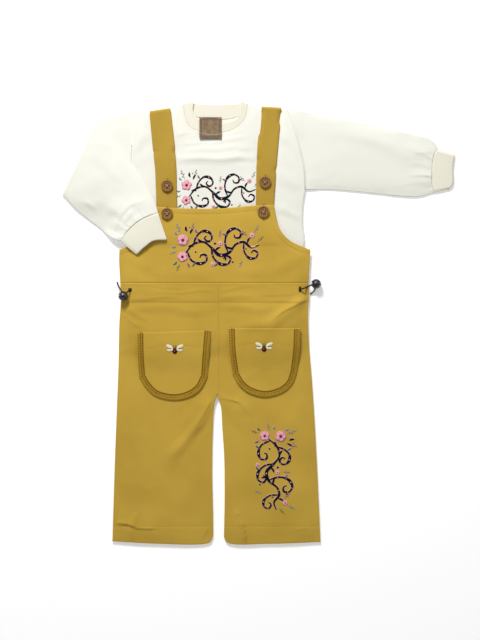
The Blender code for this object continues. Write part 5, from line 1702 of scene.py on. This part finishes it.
class CoordStitches(bpy.types.Operator):
    """Sew the lines of stitches along the hems, seams and edges."""

    bl_idname = "coord.stitches"
    bl_label = "Stitches"

    def execute(self, context):
        LAID["tree"] = tree_of(*(LAID[name] for name in CLOTH_ON_TOP))
        thread = size_of("thread")
        arms = sideways(curve(BIB_LEFT_ARM, 60), 7.0), sideways(curve(BIB_RIGHT_ARM, 60), -7.0)
        seam_x = CENTRE_SEAM_X + 2.2
        lines = [
            sideways(curve(BIB_TOP, 80), -7.0)[6:-6],
            *(arm[4:-6] for arm in arms),
            [(-190, 52.6), (67.5, 52.6)],
            [(-190, CASING_Y), (68, CASING_Y)],
            [(-200, HEM_LINE_Y), (-66, HEM_LINE_Y)],
            [(-46, HEM_LINE_Y), (84, HEM_LINE_Y)],
            [(seam_x, 50), (seam_x, CROTCH_Y + 6)],
        ]
        rows = [stitch for line in lines for stitch in seam_of(line, thread)]
        sew("dungaree_stitches", {"mustard_thread": rows})
        rows = []
        for table in STRAP_ROWS.values():
            y, left, right = np.array(table, float).T
            for edge in (left + 2.6, right - 2.6):
                line = np.column_stack([edge, y])
                line[0, 1], line[-1, 1] = 163.0, y[-1] - 1.0
                rows += seam_of(line, thread)
        sew("strap_stitches", {"mustard_thread": rows})
        rows = []
        for side in SIDES:
            rows += run_of(curve(POCKET_HEMS[side], 40), 2.9, 2.3, thread, thread * 0.8, 0.02)
        sew("pocket_hem_stitches", {"mustard_thread": rows})
        neck = sideways(curve(NECK_FRONT, 90), -2.2)
        rows = run_of(neck[3:-3], 2.7, 2.1, thread * 0.9, thread * 0.7, 0.02)
        label_y = LABEL_MIDDLE[1] + LABEL_H / 2 - 1.4
        for x in (LABEL_MIDDLE[0] - LABEL_W / 2 + 2, LABEL_MIDDLE[0] + LABEL_W / 2 - 5):
            rows += run_of([(x, label_y), (x + 3.4, label_y)], 1.0, 0.9, thread, thread * 0.7)
        sew("sweatshirt_stitches", {"cream_thread": rows})
        return {"FINISHED"}


def pocket_edge(edges):
    """Down the pocket's left side, round its bottom and up its right side."""
    return chain(curve(edges["left"], 40), curve(edges["bottom"], 120), curve(edges["right"][::-1], 40))


class CoordTrims(bpy.types.Operator):
    """Sew the pockets' brown braid-like trim and the two bees."""

    bl_idname = "coord.trims"
    bl_label = "Pocket trims and bees"

    def execute(self, context):
        for side, edges in zip(SIDES, (POCKET_LEFT, POCKET_RIGHT)):
            edge = pocket_edge(edges)
            dark = chain_of(sideways(edge, 8.0), 2.0, 0.75, 2.2, 0.2)
            dark += run_of(edge, 2.2, 0.35, 0.65, 0.55, 0.12, (2.4, 7.0))
            dark += run_of(sideways(edge, 4.8), 2.2, 1.0, 0.8, 0.6, 0.2, start=0.5)
            light = chain_of(sideways(edge, 1.5), 1.7, 0.65, 2.2, 0.2)
            light += run_of(edge, 2.2, 0.9, 0.5, 0.45, 0.16, (6.6, 2.2), start=1.1)
            sew(f"pocket_trim_{side}", {"trim_dark": dark, "trim_light": light})
            self.bee(side)
        return {"FINISHED"}

    def bee(self, side):
        x, y = BEES[side]
        wings, dark = [], []
        for sign in (-1, 1):
            wings += satin(x + sign * 7.3, y + 2.6, 10.4, 5.4, sign * 25, 0.85, 0.35)
            wings += satin(x + sign * 6.4, y - 2.0, 8.8, 4.6, -sign * 9, 0.85, 0.3)
            dark += satin(x + sign * 7.0, y + 0.3, 4.2, 0.9, sign * 10, 0.55, 0.75)
            for start, end in (((1.2, -0.6), (3.4, 4.4)), ((0.3, 0.2), (1.7, 5.0))):
                line = [(x + sign * start[0], y + start[1]), (x + sign * end[0], y + end[1])]
                dark += run_of(line, 1.1, 1.4, 0.7, 0.6, 0.4)
        body = satin(x, y - 3.4, 7.4, 7.2, 90, 0.85, 0.5, 0.5) + satin(x, y - 3.4, 4.4, 4.4, 90, 0.8, 0.95, 0.5)
        dark += satin(x, y - 1.9, 5.0, 0.9, 0, 0.6, 1.0) + satin(x, y - 5.0, 4.2, 0.8, 0, 0.6, 0.85)
        glint = satin(x - 0.3, y - 3.3, 1.9, 1.5, 0, 0.6, 1.45)
        groups = {"wing_thread": wings, "maroon_thread": body, "olive_thread": dark, "glint_thread": glint}
        sew(f"bee_{side}", groups)


class CoordButtons(bpy.types.Operator):
    """Sew on the four wood-look buttons, with their buttonholes."""

    bl_idname = "coord.buttons"
    bl_label = "Buttons and buttonholes"

    def execute(self, context):
        pattern = self.model()
        for name, (x, y, z) in BUTTONS.items():
            obj = put(f"{name}_wood", pattern.data.copy())
            obj.data.transform(Matrix.Translation((x * MM, y * MM, z * MM)) @ Matrix.Rotation(0.4 * x, 4, "Z"))
            dress(obj, "brown_button", name, slot="brown_button")
            self.thread(name, x, y, z + BUTTON_H - BUTTON_DISH)
        bpy.data.objects.remove(pattern, do_unlink=True)
        self.holes()
        return {"FINISHED"}

    def model(self):
        """One button: a disc, inset and sunk for its dish, with a ring in it, four holes and soft edges."""
        bpy.ops.mesh.primitive_cylinder_add(
            vertices=72, radius=BUTTON_D / 2 * MM, depth=BUTTON_H * MM, location=(0, 0, BUTTON_H / 2 * MM)
        )
        disc = bpy.context.object
        disc.name = "button_pattern"
        bpy.ops.object.transform_apply(location=True, rotation=True, scale=True)
        bpy.ops.object.mode_set(mode="EDIT")
        select_faces(disc, lambda face: face.normal.z > 0.9)
        for inset, sink in ((BUTTON_RIM, 0.0), (0.7, BUTTON_DISH), (1.5, 0.0), (0.25, -0.3), (0.35, 0.0), (0.25, 0.3)):
            bpy.ops.mesh.inset(thickness=inset * MM)
            bpy.ops.transform.translate(value=(0, 0, -sink * MM))
        bpy.ops.object.mode_set(mode="OBJECT")
        bevel(disc, 0.5, 3, 60)
        for dx, dy in ((-1, -1), (1, -1), (1, 1), (-1, 1)):
            place = (dx * HOLE_PITCH / 2 * MM, dy * HOLE_PITCH / 2 * MM, 0)
            bpy.ops.mesh.primitive_cylinder_add(vertices=20, radius=HOLE_D / 2 * MM, depth=9 * MM, location=place)
            bore(disc, bpy.context.object, BUTTON_D)
        bevel(disc, 0.12, 2, 65)
        bpy.ops.object.shade_smooth_by_angle(angle=math.radians(32))
        return disc

    def thread(self, name, x, y, z):
        """Two crossed turns of thread through the four holes."""
        strands, reach, t = [], HOLE_PITCH / 2, np.linspace(-1, 1, 15)
        for layer, (dx, dy) in enumerate(((1, 1), (1, -1))):
            for off in (-0.32, 0.32):
                side = np.array([-dy, dx]) * off / math.sqrt(2)
                rise = 0.5 + 0.35 * layer - 1.5 * np.abs(t) ** 6
                line = np.column_stack([x + t * dx * reach + side[0], y + t * dy * reach + side[1], z + rise])
                strands.append(rope("strand", line, 0.36, braid=0.12, sides=10, ends=0.1))
        points, faces = joined(*strands)
        for strand in strands:
            bpy.data.objects.remove(strand, do_unlink=True)
        dress(make_object(f"{name}_thread", np.array(points) / MM, faces), "button_thread")

    def holes(self):
        """A thread-worked buttonhole under each button, upright, a little longer than the button. Its slit is a line of
        near-black strands: painted shade for the cut opening.
        """
        rows, painted_slit_shade = [], []
        for x, y, _ in BUTTONS.values():
            x = x + 0.6
            for sign in (-1, 1):
                column = [(x + sign * 0.95, y - 11.2), (x + sign * 0.95, y + 11.2)]
                rows += run_of(column, 0.62, 0.1, 0.6, 0.4, 0.06, (-0.6, 0.6))
            for end in (-11.4, 11.4):
                rows += run_of([(x - 1.6, y + end), (x + 1.9, y + end)], 0.5, 0.1, 0.55, 0.45, 0.1, (-0.9, 0.9))
            # The slit: near-black strands laid as painted shade where the cut opening lies in shadow.
            painted_slit_shade += run_of([(x, y - 10.8), (x, y + 10.8)], 2.0, 2.4, 0.5, 0.2, 0.03)
        sew("buttonholes", {"mustard_thread": rows, "dark_thread": painted_slit_shade})


class CoordSlots(bpy.types.Operator):
    """Work the two dark thread slots where the drawcord leaves the waist."""

    bl_idname = "coord.slots"
    bl_label = "Cord slots"

    def execute(self, context):
        for side, (x, y, wide, tall) in SLOTS.items():
            rows = []
            for layer, share in ((0.0, 1.0), (0.12, 0.66)):
                for s in np.arange(-tall / 2, tall / 2, 0.5):
                    reach = wide / 2 * share * math.sqrt(max(0.0, 1 - (2 * s / tall) ** 4))
                    if reach < 0.4:
                        continue
                    for sign in (-1, 1):
                        inner = x + sign * (0.15 if share < 1 else reach * 0.45)
                        rows.append((inner, y + s, x + sign * reach, y + s + 0.1 * sign, 0.6, 0.45, 0.1 + layer))
            sew(f"cord_slot_{side}", {"dark_thread": rows})
        return {"FINISHED"}


class CoordPrints(bpy.types.Operator):
    """Print a spray of flowers on the chest, the bib and the leg."""

    bl_idname = "coord.prints"
    bl_label = "Printed flowers"

    def execute(self, context):
        for name, (cloth, corner, turn, size, rimmed) in PRINTS.items():
            ink = Ink(cloth, corner, turn, size)
            if rimmed:
                self.spray(ink, 0.04, 1.0, rim=True)
            self.spray(ink, 0.08, 0.0, rim=False)
            many_in_one(name, ink.points, ink.faces, ink.kinds, ink.inks)
        return {"FINISHED"}

    def spray(self, ink, lift, grow, rim):
        """The whole spray, or with rim set, the same shapes a little wider and all pale."""
        for points, wide in STEMS:
            ink.stroke(points, 2.0 * wide + grow, "halo" if rim else "navy", lift, 0.5 if rim else 0.3)
            if not rim:
                line = curve(points, 16)
                for k, colour in ((3, "rose"), (6, "mauve"), (8, "blush"), (10, "slate"), (12, "rose")):
                    ink.round(*line[k], 0.42 * wide, colour, lift + 0.03)
        for x, y, angle, long, wide, colour in LEAVES:
            ink.leaf(x, y, angle, long + grow / 2, wide + grow, "halo" if rim else colour, lift + 0.02)
        for x, y, radius, turn in FLOWERS:
            if rim:
                ink.round(x, y, radius * 1.02 + grow / 2, "halo", lift)
            else:
                ink.flower(x, y, radius, turn, lift + 0.03)
        for x, y, angle, long, colour in () if rim else TWIGS:
            ink.twig(x, y, angle, long, colour, lift + 0.01)
        for x, y, radius in DOTS:
            ink.round(x, y, radius + grow / 2, "halo" if rim else "navy", lift + 0.02)


class CoordCuts(bpy.types.Operator):
    """Does nothing: the cuts kept in CUTS are not stated."""

    bl_idname = "coord.cuts"
    bl_label = "Cuts of cloth"

    def execute(self, context):
        return {"FINISHED"}


class CoordPanel(bpy.types.Panel):
    """Lists the sizes, the colours and the steps of the set."""

    bl_idname = "VIEW3D_PT_coord_set"
    bl_label = "Co-ord set"
    bl_space_type = "VIEW_3D"
    bl_region_type = "UI"
    bl_category = "Co-ord set"

    def draw(self, context):
        for group in (context.scene.coord_sizes, context.scene.coord_colours):
            box = self.layout.box()
            for name in type(group).__annotations__:
                box.prop(group, name)
        for operator in OPERATORS:
            self.layout.operator(operator.bl_idname)


OPERATORS = (
    CoordStage, CoordDrawcord, CoordBacks, CoordSweatshirt, CoordDungarees, CoordStraps, CoordSleeves, CoordLabel,
    CoordStitches, CoordTrims, CoordButtons, CoordSlots, CoordPrints, CoordCuts,
)
GROUP_CLASSES = (CoordSizes, CoordColours)


def register():
    for item in (*GROUP_CLASSES, *OPERATORS, CoordPanel):
        bpy.utils.register_class(item)
    bpy.types.Scene.coord_sizes = PointerProperty(type=CoordSizes)
    bpy.types.Scene.coord_colours = PointerProperty(type=CoordColours)


def unregister():
    del bpy.types.Scene.coord_colours
    del bpy.types.Scene.coord_sizes
    for item in (CoordPanel, *OPERATORS[::-1], *GROUP_CLASSES[::-1]):
        bpy.utils.unregister_class(item)


def main():
    register()
    make_materials(bpy.context.scene.coord_colours)
    bpy.ops.coord.stage()
    bpy.ops.coord.drawcord()
    bpy.ops.coord.backs()
    bpy.ops.coord.sweatshirt()
    bpy.ops.coord.dungarees()
    bpy.ops.coord.straps()
    bpy.ops.coord.sleeves()
    bpy.ops.coord.label()
    bpy.ops.coord.stitches()
    bpy.ops.coord.trims()
    bpy.ops.coord.buttons()
    bpy.ops.coord.slots()
    bpy.ops.coord.prints()
    bpy.ops.coord.cuts()


if __name__ == "__main__":
    main()
